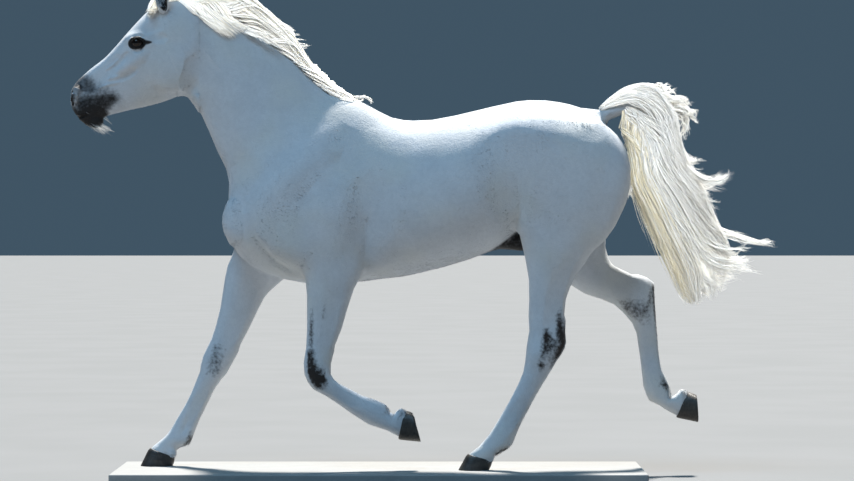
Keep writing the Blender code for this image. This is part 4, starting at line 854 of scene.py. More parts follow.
# ---------------------------------------------------------------- places on the body, and the coat's lie
def section_axis(rows, height):
    """Middles and half heights of a loft's sections."""
    return np.array([((a + c) / 2, 0, (b + d) / 2, height(a - c, b - d) / 2) for a, b, c, d, *_ in rows])


BODY_AXES = {
    "trunk": section_axis(TRUNK, lambda x, z: z),
    "neck": section_axis(NECK[:-2], hypot),
    "head": section_axis(HEAD, hypot),
}


def leg_axis(leg):
    rows, side, y_top, y_low = LEGS[leg]
    share = np.linspace(0, 1, len(rows))
    return np.array([
        ((a + c) / 2, side * (y_top + t * (y_low - y_top)), (b + d) / 2, (hypot(a - c, b - d) + 2 * w) / 4)
        for t, (a, b, c, d, w) in zip(share, rows)
    ])


AXES = {**BODY_AXES, **{leg: leg_axis(leg) for leg in LEGS}}
PARTS = list(AXES)
FIRST_LEG = PARTS.index("foreleg_left")


def place_in_body(points):
    """For each point: its part's number, how far along the part it is from 0 to 1, the angle round the part's
    axis (0 at the front or top) and the way along the axis."""
    best = np.full(len(points), np.inf)
    part, share, angle = np.zeros(len(points), int), np.zeros(len(points)), np.zeros(len(points))
    way = np.zeros((len(points), 3))
    for number, name in enumerate(PARTS):
        axis = curve_through(AXES[name], 5)
        along = unit(np.gradient(axis[:, :3], axis=0))
        nearest = np.full(len(points), np.inf)
        index = np.zeros(len(points), int)
        for k, (x, y, z, _) in enumerate(axis):
            away = ((points - (x, y, z)) ** 2).sum(1)
            closer = away < nearest
            nearest[closer], index[closer] = away[closer], k
        ratio = np.sqrt(nearest) / axis[index, 3]
        closer = ratio < best
        front = unit(np.cross(along[index], (0, 1, 0)))
        off = points - axis[index, :3]
        turn = np.arctan2(off[:, 1], -(off * front).sum(1))
        best[closer], part[closer] = ratio[closer], number
        share[closer] = index[closer] / (len(axis) - 1)
        angle[closer], way[closer] = turn[closer], along[index[closer]]
    return part, share, angle, way


def coat_lie(points, normals, place):
    """The way that the coat lies at each point, along the skin."""
    part, _, _, way = place
    downhill = np.array((0.0, 0.0, -1.0))
    lie = np.zeros_like(points)
    for name, down in (("trunk", 0.45), ("neck", 0.35), ("head", 0.25)):
        here = part == PARTS.index(name)
        lie[here] = way[here] + down * downhill
    legs = part >= FIRST_LEG
    lie[legs] = way[legs] + 0.15 * downhill
    lie -= (lie * normals).sum(1)[:, None] * normals
    return unit(lie)


def map_place(place):
    """Where a root is on the unwrap of the skin. Each part has a rectangle, its length up and its girth
    across."""
    part, share, angle, _ = place
    column, row = part % 4, part // 4
    across = 0.02 + 0.96 * (angle / (2 * pi) + 0.5)
    up = 0.02 + 0.96 * share
    return np.stack([(column + across) / 4, (row + up) / 2], 1)


# ---------------------------------------------------------------- skin
def head_clay(voxel):
    """The head and the top of the neck again, finer, with the folds of the face."""
    clay = Clay((-1.37, -0.14, 1.31), (-0.76, 0.14, 1.91), voxel, 0.04)
    clay.add(body_loft(NECK), 0.08)
    for side in (-1, 1):
        carve_neck(clay, side)
    add_head(clay)
    for side in (-1, 1):
        add_eyelids(clay, side)
        add_face_folds(clay, side)
    return clay


def add_face_folds(clay, side):
    """Lid folds, facial crest, the muscles that run to the nostril, the nostril and the mouth's corner."""
    x, y, z = EYE
    raised = (
        ([(x - 0.030, y + 0.006, z + 0.006, 0.004, 0.004), (x - 0.014, y + 0.019, z + 0.021, 0.004, 0.004),
          (x + 0.008, y + 0.020, z + 0.024, 0.004, 0.004),
          (x + 0.030, y + 0.008, z + 0.012, 0.003, 0.003)], 0.012),
        ([(x - 0.030, 0.060, z - 0.075, 0.011, 0.007), (-1.104, 0.0565, 1.560, 0.009, 0.007)], 0.012),
        ([(-1.115, 0.055, 1.552, 0.004, 0.004), (-1.165, 0.050, 1.541, 0.004, 0.004),
          (-1.205, 0.046, 1.542, 0.003, 0.004)], 0.008),
        ([(-1.118, 0.057, 1.526, 0.004, 0.004), (-1.168, 0.051, 1.516, 0.004, 0.004),
          (-1.215, 0.046, 1.500, 0.003, 0.004)], 0.008),
        ([(-1.080, 0.050, 1.650, 0.004, 0.004), (-1.140, 0.045, 1.600, 0.004, 0.004),
          (-1.180, 0.042, 1.575, 0.003, 0.003)], 0.010),
        ([(-1.289, 0.048, 1.486, 0.004, 0.005), (-1.287, 0.049, 1.462, 0.0045, 0.005),
          (-1.299, 0.043, 1.434, 0.004, 0.005), (-1.314, 0.032, 1.424, 0.003, 0.003)], 0.006),
    )
    cut = (
        ([(x - 0.018, y + 0.013, z + 0.029, 0.002, 0.002), (x + 0.004, y + 0.017, z + 0.032, 0.002, 0.002),
          (x + 0.026, y + 0.012, z + 0.024, 0.002, 0.002)], 0.008),
        ([(x - 0.016, y + 0.012, z - 0.030, 0.002, 0.003), (x + 0.004, y + 0.014, z - 0.032, 0.002, 0.003),
          (x + 0.024, y + 0.010, z - 0.022, 0.0015, 0.002)], 0.010),
        ([(x - 0.008, 0.072, z - 0.105, 0.006, 0.006), (-1.088, 0.064, 1.552, 0.006, 0.006),
          (-1.118, 0.060, 1.538, 0.004, 0.004)], 0.014),
        ([(-1.085, 0.066, 1.640, 0.004, 0.004), (-1.125, 0.058, 1.600, 0.005, 0.004),
          (-1.170, 0.052, 1.565, 0.004, 0.003)], 0.014),
        ([(-1.236, 0.046, 1.392, 0.002, 0.004), (-1.200, 0.047, 1.404, 0.002, 0.004),
          (-1.172, 0.048, 1.418, 0.0018, 0.003), (-1.150, 0.050, 1.436, 0.001, 0.002)], 0.004),
        ([(-0.985, 0.088, 1.706, 0.012, 0.007), (-0.935, 0.082, 1.704, 0.012, 0.006)], 0.020),
        ([(-1.300, 0.042, 1.488, 0.0050, 0.013), (-1.303, 0.044, 1.464, 0.0075, 0.018),
          (-1.307, 0.038, 1.438, 0.0055, 0.013)], 0.004),
    )
    for rows, blend in raised:
        clay.add(side_strand(rows, side), blend)
    for rows, blend in cut:
        clay.carve(side_strand(rows, side), blend)


def field_at(clay, points):
    """The clay's distances at points, and their slopes, by linear interpolation."""
    spot = (points - clay.low) / clay.voxel
    spot = np.clip(spot, 0.001, np.array(clay.shape) - 1.001)
    cell = spot.astype(int)
    t = spot - cell
    corner = np.zeros((2, 2, 2, len(points)))
    for a in (0, 1):
        for b in (0, 1):
            for c in (0, 1):
                corner[a, b, c] = clay.field[cell[:, 0] + a, cell[:, 1] + b, cell[:, 2] + c]
    u, v, w = t.T
    along_z = corner[:, :, 0] * (1 - w) + corner[:, :, 1] * w
    along_y = along_z[:, 0] * (1 - v) + along_z[:, 1] * v
    value = along_y[0] * (1 - u) + along_y[1] * u
    across_z = (corner[:, :, 1] - corner[:, :, 0])
    across_z = across_z[:, 0] * (1 - v) + across_z[:, 1] * v
    slope_z = across_z[0] * (1 - u) + across_z[1] * u
    across_y = along_z[:, 1] - along_z[:, 0]
    slope_y = across_y[0] * (1 - u) + across_y[1] * u
    slope = np.stack([along_y[1] - along_y[0], slope_y, slope_z], 1) / clay.voxel
    return value, slope


def onto(clay, points, inset, times=5):
    """Moves points to the clay's surface, inset metres inside it."""
    for _ in range(times):
        value, slope = field_at(clay, points)
        steep = np.maximum((slope**2).sum(1), 0.25)
        move = np.clip((value + inset) / steep, -0.004, 0.004)
        points = points - move[:, None] * slope
    return points


def refine(obj, inside):
    """Cuts each face of the mesh whose points are all inside into four."""
    shape = bmesh.new()
    shape.from_mesh(obj.data)
    shape.verts.ensure_lookup_table()
    edges = [edge for edge in shape.edges if inside[edge.verts[0].index] and inside[edge.verts[1].index]]
    bmesh.ops.subdivide_edges(shape, edges=edges, cuts=1, use_grid_fill=True)
    shape.to_mesh(obj.data)
    shape.free()


CREASES = (                       # folds of the skin, as rows (x, z, half width, depth) down both sides
    [(0.462, 1.120, 0.010, 0.000), (0.472, 1.040, 0.010, 0.005), (0.468, 0.985, 0.010, 0.009),
     (0.450, 0.945, 0.010, 0.004)],
    [(-0.130, 0.990, 0.010, 0.000), (-0.131, 0.930, 0.010, 0.005), (-0.134, 0.870, 0.010, 0.007),
     (-0.142, 0.800, 0.010, 0.005)],
    [(-0.590, 0.920, 0.010, 0.002), (-0.550, 0.865, 0.012, 0.006), (-0.490, 0.805, 0.012, 0.006),
     (-0.425, 0.760, 0.010, 0.002)],
)
CREASE_SOFTNESS = 0.020
CREASE_CUTTER = 0.014             # how thick a crease's cutter is, of which only the depth goes in


def side_of(clay, x, z, side):
    """How far out the clay's surface is at (x, z), on one side."""
    out = np.linspace(0.34, 0.0, 240)
    points = np.stack([np.full(240, x), side * out, np.full(240, z)], 1)
    value, _ = field_at(clay, points)
    return side * out[np.argmax(value < 0)]


def add_creases(clay):
    """Folds of the skin, cut in the finished body."""
    for rows in CREASES:
        for side in (-1, 1):
            cut = []
            for x, z, width, depth in rows:
                out = side_of(clay, x, z, side) + side * (CREASE_CUTTER - depth)
                cut.append((x, out, z, width, CREASE_CUTTER))
            clay.carve(strand(cut), CREASE_SOFTNESS)


RELIEF = (                        # hollows of the body: depth, and rows (x, z, radius) down both sides
    # before the shoulder blade
    (0.007, [(-0.400, 1.240, 0.050), (-0.330, 1.285, 0.055), (-0.250, 1.310, 0.045)]),
    # at the neck's root
    (0.006, [(-0.615, 1.190, 0.035), (-0.600, 1.120, 0.045), (-0.605, 1.050, 0.035)]),
    # behind the triceps
    (0.007, [(-0.160, 1.090, 0.030), (-0.150, 1.030, 0.040), (-0.140, 0.960, 0.035)]),
    # under the shoulder
    (0.004, [(-0.400, 0.930, 0.050), (-0.330, 0.900, 0.050)]),
    # over the hip and rump
    (0.007, [(0.320, 1.372, 0.040), (0.440, 1.388, 0.042), (0.560, 1.384, 0.042),
             (0.680, 1.362, 0.042), (0.760, 1.330, 0.036)]),
    # behind the hip's point
    (0.004, [(0.485, 1.372, 0.016), (0.530, 1.366, 0.020), (0.585, 1.352, 0.016)]),
    # flank
    (0.006, [(0.400, 1.250, 0.050), (0.455, 1.150, 0.045)]),
    # over the stifle
    (0.005, [(0.560, 0.985, 0.022), (0.620, 0.962, 0.030), (0.690, 0.975, 0.022)]),
    # before the buttock
    (0.005, [(0.790, 1.150, 0.025), (0.800, 1.060, 0.030), (0.770, 0.980, 0.025)]),
)


def add_relief(points, normals):
    """The points of the skin moved in at the body's hollows, too softly to show an edge."""
    outer = step_between(0.1, 0.5, normals[:, 1] * np.sign(points[:, 1]))
    flat = points[:, (0, 2)]
    moved = points.copy()
    for depth, rows in RELIEF:
        rows = np.array(rows)
        reach = 2 * rows[:, 2].max()
        inside = (flat > rows[:, :2].min(0) - reach) & (flat < rows[:, :2].max(0) + reach)
        near = np.flatnonzero(inside.all(1))
        away = np.full(len(near), 2.0)
        for x, z, radius in along_rows(rows, np.linspace(0, len(rows) - 1.001, 50)):
            away = np.minimum(away, np.hypot(flat[near, 0] - x, flat[near, 1] - z) / radius)
        moved[near] -= normals[near] * (depth * step_between(2, 0, away) * outer[near])[:, None]
    return moved


def near_face(points, eye_reach, muzzle_x, muzzle_top):
    """Which points are round an eye or on the muzzle."""
    round_eye = np.linalg.norm(folded(points) - np.array(EYE), axis=1) < eye_reach
    muzzle = (points[:, 0] < muzzle_x) & (points[:, 2] < muzzle_top) & (points[:, 2] > HEAD_CUT_ABOVE)
    return round_eye | muzzle


def make_skin(material):
    """The skin as one closed mesh, finer on the head and finest round the eyes and on the muzzle."""
    clay = horse_clay(BODY_VOXEL)
    add_creases(clay)
    skin = mesh_object("skin", *clay.surface(COAT_DEPTH), material)
    set_points(skin.data, add_relief(points_of(skin.data), normals_of(skin.data)))
    fine = head_clay(HEAD_VOXEL)
    points = points_of(skin.data)
    refine(skin, (points[:, 0] < HEAD_FROM) & (points[:, 2] > HEAD_CUT_ABOVE))
    points = points_of(skin.data)
    ahead = (points[:, 0] < HEAD_FROM) & (points[:, 2] > HEAD_MOVED_ABOVE)
    points[ahead] = onto(fine, points[ahead], COAT_DEPTH, 3)
    set_points(skin.data, points)
    refine(skin, near_face(points, 0.052, -1.14, 1.54))
    points = points_of(skin.data)
    ahead = (points[:, 0] < HEAD_FROM) & (points[:, 2] > HEAD_MOVED_ABOVE)
    moved = onto(fine, points[ahead], COAT_DEPTH)
    wholly = 1 - step_between(HEAD_WHOLLY, HEAD_FROM, points[ahead][:, 0])
    points[ahead] += (moved - points[ahead]) * wholly[:, None]
    set_points(skin.data, points)
    detail = near_face(points, 0.055, -1.13, 1.55)
    shares = np.where(detail, 0.6, np.where(points[:, 0] < HEAD_WHOLLY, 0.8, 1.0))
    thin(skin, SKIN_TRIANGLES, shares)
    return skin


# ---------------------------------------------------------------- markings: the same on skin and coat
def markings(points):
    """For each point: how much bare dark skin shows, how dark it is made by dark patches and by painted shade
    inside the nostrils and along the line of the mouth, and 1 on the legs. Bare and darkened skin is nearly
    black."""
    points = np.asarray(points, float)
    full = near_strand(points, [(-1.285, 0.0, 1.405, 0.045), (-1.255, 0.0, 1.390, 0.062),
                                (-1.220, 0.02, 1.400, 0.055)], 0.35)
    towards_cheek = near_strand(points, [(-1.255, 0.03, 1.435, 0.042), (-1.200, 0.04, 1.440, 0.040),
                                         (-1.150, 0.05, 1.460, 0.024)], 0.7)
    greyer = near_strand(
        points, [(-1.300, 0.02, 1.480, 0.045), (-1.255, 0.03, 1.490, 0.050), (-1.200, 0.04, 1.475, 0.044),
                 (-1.140, 0.05, 1.465, 0.030)], 0.7)
    mottled = near_strand(points, [(-1.290, 0.0, 1.525, 0.044), (-1.262, 0.025, 1.520, 0.040),
                                   (-1.235, 0.035, 1.500, 0.030)], 0.8)
    over_nostril = near_strand(points, [(-1.300, 0.028, 1.500, 0.016), (-1.280, 0.030, 1.508, 0.017)], 0.5)
    x, y, z = EYE
    flat = points * (1, 0.2, 1)
    side_y = 0.2 * (y + 0.020)
    lids = near_strand(flat, [(x - 0.015, side_y, z - 0.002, 0.022), (x - 0.003, side_y, z + 0.001, 0.026),
                              (x + 0.012, side_y, z, 0.021), (x + 0.028, side_y, z + 0.002, 0.010)], 0.2)
    corner = near_strand(flat, [(x + 0.026, side_y, z + 0.002, 0.011),
                                (x + 0.054, side_y, z + 0.003, 0.004)], 0.7)
    sheath = near_strand(points, [(0.400, 0, 0.880, 0.050), (0.490, 0, 0.880, 0.060)], 0.3)
    under_tail = near_strand(points, [(0.835, 0, 1.340, 0.034), (0.852, 0, 1.25, 0.034),
                                      (0.85, 0, 1.17, 0.03)], 0.5)
    # inside the nostrils: dark skin, made nearly black by painted shade of their hollows
    inside_nostril = near_strand(points, [(-1.302, 0.036, 1.486, 0.010), (-1.306, 0.039, 1.464, 0.013),
                                          (-1.309, 0.033, 1.440, 0.010)], 0.35)
    bare = np.maximum.reduce([full, 0.85 * towards_cheek, 0.42 * greyer, 0.60 * mottled, 0.9 * over_nostril,
                              lids, corner, 0.9 * sheath, 0.8 * under_tail, inside_nostril])
    # painted shade along the line of the mouth, between the lips
    mouth = near_strand(points, [(-1.290, 0.02, 1.391, 0.010), (-1.232, 0.046, 1.402, 0.008),
                                 (-1.180, 0.048, 1.426, 0.006)], 0.6)
    smudges_and_shade = np.maximum.reduce([inside_nostril, 0.8 * mouth, 0.9 * lids])
    for strength, rows in SMUDGES:
        smudges_and_shade = np.maximum(smudges_and_shade, strength * near_strand(points, rows, 0.6, False))
    part = place_in_body(points)[0]
    leg = (part >= FIRST_LEG) * step_between(0.85, 0.65, points[:, 2])
    return np.stack([bare, smudges_and_shade, leg], 1)


SMUDGES = (                       # strength, and balls (x, y, z, radius)
    (1.00, [(-0.345, -0.165, 0.372, 0.022), (-0.318, -0.165, 0.340, 0.032), (-0.300, -0.160, 0.318, 0.022)]),
    (0.80, [(-0.358, -0.160, 0.535, 0.016), (-0.362, -0.160, 0.480, 0.018), (-0.352, -0.165, 0.415, 0.015)]),
    (0.60, [(-0.292, -0.175, 0.620, 0.011), (-0.322, -0.180, 0.500, 0.012)]),
    (0.70, [(-0.345, -0.165, 0.425, 0.010), (-0.343, -0.165, 0.405, 0.010)]),
    (0.80, [(-0.072, -0.130, 0.240, 0.014), (-0.058, -0.130, 0.226, 0.012)]),
    (0.95, [(0.645, -0.150, 0.575, 0.020), (0.640, -0.150, 0.510, 0.028), (0.618, -0.150, 0.445, 0.020),
            (0.590, -0.150, 0.385, 0.012)]),
    (0.85, [(0.578, -0.160, 0.530, 0.022), (0.570, -0.160, 0.450, 0.024), (0.558, -0.160, 0.385, 0.014)]),
    (0.75, [(0.420, -0.140, 0.068, 0.022), (0.392, -0.140, 0.052, 0.016)]),
    (0.60, [(0.900, 0.090, 0.640, 0.035), (0.960, 0.090, 0.612, 0.045), (1.000, 0.110, 0.630, 0.030)]),
    (0.70, [(1.020, 0.120, 0.700, 0.024), (1.035, 0.120, 0.600, 0.020), (1.040, 0.130, 0.500, 0.014)]),
    (0.80, [(1.050, 0.120, 0.335, 0.020), (1.068, 0.120, 0.308, 0.018)]),
    (1.00, [(-0.631, 0.050, 0.552, 0.013), (-0.628, 0.050, 0.520, 0.012)]),
    (0.55, [(-0.735, 0.080, 0.455, 0.035), (-0.745, 0.080, 0.385, 0.038)]),
    (0.90, [(-0.838, 0.110, 0.108, 0.022), (-0.868, 0.110, 0.090, 0.020)]),
)


# ---------------------------------------------------------------- locks and tufts
def lock_mesh(name, paths, widths, outs, roots_on_map, material, flat=0.45, tints=None):
    """One joined mesh of closed locks. Each path is a row of points, each lock three-sided down to a point at
    its last one. Widths are for all points but the last. Outs point away from the body. Flat is a lock's
    thickness as a share of its width. Every lock has a patch of the OFBake map at its root's place."""
    count, length, _ = paths.shape
    along = unit(np.gradient(paths, axis=1))
    outs = unit(outs - (outs * along).sum(2, keepdims=True) * along)
    across = np.cross(along, outs)
    half = widths[:, :, None] / 2
    body = slice(0, length - 1)
    corners = np.stack([
        paths[:, body] + outs[:, body] * half * flat * 1.2,
        paths[:, body] + across[:, body] * half - outs[:, body] * half * flat * 0.6,
        paths[:, body] - across[:, body] * half - outs[:, body] * half * flat * 0.6,
    ], 2)
    per_lock = 3 * (length - 1) + 1
    points = np.concatenate([corners.reshape(count, -1, 3), paths[:, -1:]], 1).reshape(-1, 3)
    pattern = [(0, 2, 1)]
    for k in range(length - 2):
        a, b = 3 * k, 3 * k + 3
        for i, j in ((0, 1), (1, 2), (2, 0)):
            pattern += [(a + i, a + j, b + j), (a + i, b + j, b + i)]
    last, tip = 3 * (length - 2), per_lock - 1
    pattern += [(last + i, last + j, tip) for i, j in ((0, 1), (1, 2), (2, 0))]
    pattern = np.array(pattern)
    faces = (pattern[None] + (np.arange(count) * per_lock)[:, None, None]).reshape(-1, 3)
    made = mesh_object(name, points, faces, material)
    spread = np.zeros((per_lock, 2))
    for k in range(length - 1):
        spread[3 * k : 3 * k + 3, 0] = (0.5, 1.0, 0.0)
        spread[3 * k : 3 * k + 3, 1] = k / (length - 1)
    spread[tip] = (0.5, 1.0)
    uvs = roots_on_map[:, None] + PATCH * spread[pattern.ravel()][None]
    layer = made.data.uv_layers.new(name="OFBake")
    layer.data.foreach_set("uv", uvs.astype(np.float32).ravel())
    tints = random.random(count) if tints is None else tints
    paint_points(made.data, "lock", np.repeat(tints, per_lock)[:, None])
    return made


def roots_on(skin, count, weight_of):
    """Random places on the skin, more of them where weight_of says: (points, normals)."""
    points, normals = points_of(skin.data), normals_of(skin.data)
    triangles = triangles_of(skin.data)
    corners = points[triangles]
    areas = np.linalg.norm(np.cross(corners[:, 1] - corners[:, 0], corners[:, 2] - corners[:, 0]), axis=1) / 2
    middles = corners.mean(1)
    weights = areas * weight_of(middles, unit(normals[triangles].mean(1)))
    chosen = random.choice(len(triangles), count, p=weights / weights.sum())
    share = random.random((count, 2))
    over = share.sum(1) > 1
    share[over] = 1 - share[over]
    share = np.concatenate([1 - share.sum(1, keepdims=True), share], 1)[:, :, None]
    return (corners[chosen] * share).sum(1), unit((normals[triangles[chosen]] * share).sum(1))


# ---------------------------------------------------------------- coat
def lay_tufts(name, roots, normals, lengths, widths, lift, segments, material, droop=0.0, lies=None):
    """Short tufts that lie along the coat. Lift is how far the tips stand off the skin, and droop how far
    they hang, as shares of the length."""
    place = place_in_body(roots)
    lies = coat_lie(roots, normals, place) if lies is None else lies
    sideways = np.cross(normals, lies)
    lies = unit(lies + sideways * random.normal(0, 0.16, (len(roots), 1)))
    t = np.linspace(0, 1, segments)[None, :, None]
    length = lengths[:, None, None]
    start = roots[:, None] - normals[:, None] * ROOT_DEPTH
    paths = start + lies[:, None] * t * length + normals[:, None] * length * lift[:, None, None] * t**1.3
    paths = paths + np.array((0, 0, -1.0)) * droop * length * t**2
    taper = (1 - 0.55 * np.linspace(0, 1, segments)[:-1] ** 1.5)[None, :]
    outs = np.repeat(normals[:, None], segments, 1)
    made = lock_mesh(name, paths, widths[:, None] * taper, outs, map_place(place), material, 0.4)
    marks = markings(roots)
    paint_points(made.data, "marks", np.repeat(marks, len(made.data.vertices) // len(roots), 0))
    return made


def no_coat(points):
    """1 where the coat ends: on the lips and nostrils, and over the eyes."""
    x, y, z = EYE
    eye = near_strand(points, [(x - 0.008, y + 0.004, z, 0.030), (x + 0.010, y + 0.004, z, 0.030)], 0.15)
    lips = near_strand(points, [(-1.315, 0.03, 1.47, 0.022), (-1.31, 0.0, 1.43, 0.03),
                                (-1.275, 0.0, 1.385, 0.034)], 0.2)
    return np.maximum(eye, lips)


def make_coat(skin, material):
    """The flat coat on each side, and the longer hairs where it breaks the form."""
    made = []
    for side, word in ((-1, "left"), (1, "right")):

        def on_side(p, n):
            return (side * p[:, 1] >= 0) * (1 - no_coat(p)) * (1 + 1.5 * (p[:, 0] < HEAD_WHOLLY))

        roots, normals = roots_on(skin, COAT_TUFTS, on_side)
        on_head = place_in_body(roots)[0] == PARTS.index("head")
        small = np.where(on_head | (roots[:, 2] < 0.45), 0.55, 1.0)
        lengths = small * random.uniform(0.009, 0.016, COAT_TUFTS)
        widths = small * random.uniform(0.0016, 0.0028, COAT_TUFTS)
        lift = np.full(COAT_TUFTS, 0.07)
        made.append(lay_tufts(f"coat_{word}", roots, normals, lengths, widths, lift, 2, material))
    for name, count, length, width, lift, weight in EDGES:
        count = count // EDGE_THINNING
        roots, normals = roots_on(skin, count, lambda p, n: weight(p, n) * (1 - no_coat(p)))
        lengths = length * random.uniform(0.6, 1.2, count)
        widths = width * random.uniform(0.7, 1.2, count)
        lifts = lift * random.uniform(0.5, 1.3, count)
        made.append(lay_tufts(name, roots, normals, lengths, widths, lifts, 3, material, 0.10))
    return made


def under_jaw(p, n):
    jaw = (p[:, 0] > -1.26) * (p[:, 0] < -0.80) * (p[:, 2] > 1.33) * (p[:, 2] < 1.52)
    return jaw * step_between(-0.1, -0.6, n[:, 2])


def under_body(p, n):
    low = (p[:, 2] < 0.95) * (p[:, 2] > 0.6) * (p[:, 0] > -0.35) * (p[:, 0] < 0.55)
    return low * step_between(-0.75, -0.98, n[:, 2])


def breast_and_throat(p, n):
    front = (p[:, 0] > -0.92) * (p[:, 0] < -0.5) * (p[:, 2] > 0.80) * (p[:, 2] < 1.50)
    return front * step_between(-0.3, -0.8, n[:, 0]) * step_between(0.16, 0.02, np.abs(p[:, 1]))


def behind_legs(p, n):
    """The backs of the cannons and fetlocks."""
    part, share, angle, _ = place_in_body(p)
    leg = (part >= FIRST_LEG) * (share > 0.55)
    return leg * step_between(2.0, 2.9, np.abs(angle)) * (0.25 + step_between(0.72, 0.86, share))


def above_hooves(p, n):
    part, share, _, _ = place_in_body(p)
    return (part >= FIRST_LEG) * step_between(0.93, 0.985, share)


EDGES = (                         # name, tufts, length, width, lift of the tips, where
    ("coat_jaw", 3500, 0.012, 0.0012, 0.22, under_jaw),
    ("coat_belly", 4500, 0.016, 0.0018, 0.16, under_body),
    ("coat_breast", 2500, 0.013, 0.0018, 0.14, breast_and_throat),
    ("coat_fetlocks", 5000, 0.016, 0.0013, 0.22, behind_legs),
    ("coat_coronets", 2600, 0.015, 0.0014, 0.16, above_hooves),
)


# ---------------------------------------------------------------- mane, forelock and tail
def along_rows(rows, s):
    """Rows at fractional places s, by linear interpolation on the smooth curve through them."""
    fine = curve_through(rows, 12)
    spot = np.clip(np.asarray(s) * 12, 0, len(fine) - 1.001)
    k = spot.astype(int)
    t = (spot - k)[..., None]
    return fine[k] * (1 - t) + fine[np.minimum(k + 1, len(fine) - 1)] * t


def clumped(count, clumps):
    """Which clump each lock is in, and its own place within it as two numbers about 0."""
    clump = random.integers(0, clumps, count)
    return clump, random.normal(0, 0.5, (count, 2))


def keep_off(tree, paths, clearance):
    """Moves the points of paths that are in the skin, or nearer than clearance, out to it."""
    flat = paths.reshape(-1, 3)
    room = np.broadcast_to(clearance, paths.shape[:2]).ravel()
    for k, (point, least) in enumerate(zip(flat, room)):
        found, normal, _, _ = tree.find_nearest(Vector(point), NEAR_SKIN)
        if found is None:
            continue
        depth = (Vector(point) - found).dot(normal)
        if depth < least:
            flat[k] += np.array(normal) * (least - depth)
    return flat.reshape(paths.shape)


def waves(paths, sizes, turns, grow=1.5, clump=None):
    """Adds a slow wave to each path, growing towards the tip. Locks of one clump share theirs."""
    count, length, _ = paths.shape
    clump = np.arange(count) if clump is None else clump
    groups = clump.max() + 1
    t = np.linspace(0, 1, length)[None, :]
    for axis in range(3):
        phase = random.uniform(0, 2 * pi, (groups, 1))[clump]
        rate = turns * random.uniform(0.6, 1.4, (groups, 1))[clump]
        size = sizes * random.uniform(0.3, 1, (groups, 1))[clump]
        paths[:, :, axis] += size * t**grow * np.sin(phase + 2 * pi * rate * t)
    return paths


def taper(count, length, width, root=0.5, tip=0.15):
    """Widths of locks: narrower at the root, widest at a third, thin at the tip."""
    t = np.linspace(0, 1, length)[:-1]
    shape = np.interp(t, (0, 0.15, 0.5, 1), (root, 1.0, 0.9, tip))
    return width * random.uniform(0.6, 1.3, (count, 1)) * shape[None, :]


# Share of the locks, where they start along and across, how far they go along, and how far out.
TAIL_SWEEPS = (
    (0.34, (0.0, 3.0), (0.15, 0.95), (5.0, 9.5), (0.0, 0.35)),     # over the top and down the outer edge
    (0.36, (1.5, 7.0), (-1.0, -0.2), (7.0, 12.0), (0.0, 0.7)),     # hanging from under the dock
    (0.30, (3.0, 8.5), (-0.7, 0.5), (5.0, 8.0), (0.7, 1.5)),       # fanning out behind
)


def make_tail(number, material):
    """A layer of the tail. Each lock leaves the dock, comes to its own place in the tail's section and then
    drifts outwards as it goes down. Only low down do some pass the outer edge."""
    count, length, clumps = TAIL_LOCKS, LOCK_POINTS, 150
    clump, own = clumped(count, clumps)
    kinds = random.choice(len(TAIL_SWEEPS), clumps, p=[sweep[0] for sweep in TAIL_SWEEPS])

    def drawn(column):
        low, high = np.array([sweep[column] for sweep in TAIL_SWEEPS])[kinds].T
        return (low + (high - low) * random.random(clumps))[clump][:, None]

    start = np.clip(drawn(1) + 0.3 * own[:, :1], 0, 9)
    across = np.clip(drawn(2) + 0.10 * own[:, 1:], -1.0, 1.0)
    reach = drawn(3) * random.uniform(0.75, 1.1, (count, 1))
    drift = drawn(4) + 0.12 * random.normal(0, 1, (count, 1))
    depth = (random.choice((-1, 1), clumps) * np.sqrt(random.uniform(0.0, 1.0, clumps)))[clump][:, None]
    t = np.linspace(0, 1, length)[None, :]
    s = np.clip(start + reach * t, 0, len(TAIL) - 1.02)
    settled = step_between(0, 0.28, t) * (start < 6.0) + (start >= 6.0)
    loose = step_between(3.5, 5.0, s) * step_between(8.5, 7.0, s)
    edge = 0.97 + 0.05 * own[:, :1] - 0.20 * loose + 0.30 * step_between(8.5, 13.0, s)
    c = np.minimum(across * settled + drift * t**1.6, edge)
    row = along_rows(TAIL, s)
    outer, inner = row[..., (0, 1)], row[..., (2, 3)]
    middle, half = (outer + inner) / 2, (outer - inner) / 2
    thick = row[..., 4] * np.sqrt(np.clip(1 - 0.9 * np.clip(c, -1, 1) ** 2, 0.02, 1))
    sideways = thick * (depth + 0.10 * own[:, :1]) * (0.35 + 0.65 * settled)
    flat = middle + half * c[..., None]
    paths = np.stack([flat[..., 0], sideways, flat[..., 1]], 2)
    paths = waves(waves(paths, 0.013, 1.2, clump=clump), 0.006, 1.8)
    outs = np.stack([half[..., 0] * c, 0.12 * depth + 0 * c, half[..., 1] * c], 2)
    on_map = np.concatenate([0.02 + 0.30 * (start / 9 + number), 0.5 + 0.47 * across], 1)
    on_map += random.uniform(0, 0.02, (count, 2))
    # cream on the locks that hang from under the dock: partly the hair's own yellowed tone, partly painted
    # light shining through the shaded inside of the tail
    tints = step_between(-0.9, -0.4, across[:, 0] + 0.20 * random.normal(0, 1, count))
    widths = taper(count, length, 0.0034, 0.4, 0.10)
    return lock_mesh(f"tail_{number}", paths, widths, outs, on_map, material, 0.5, tints)


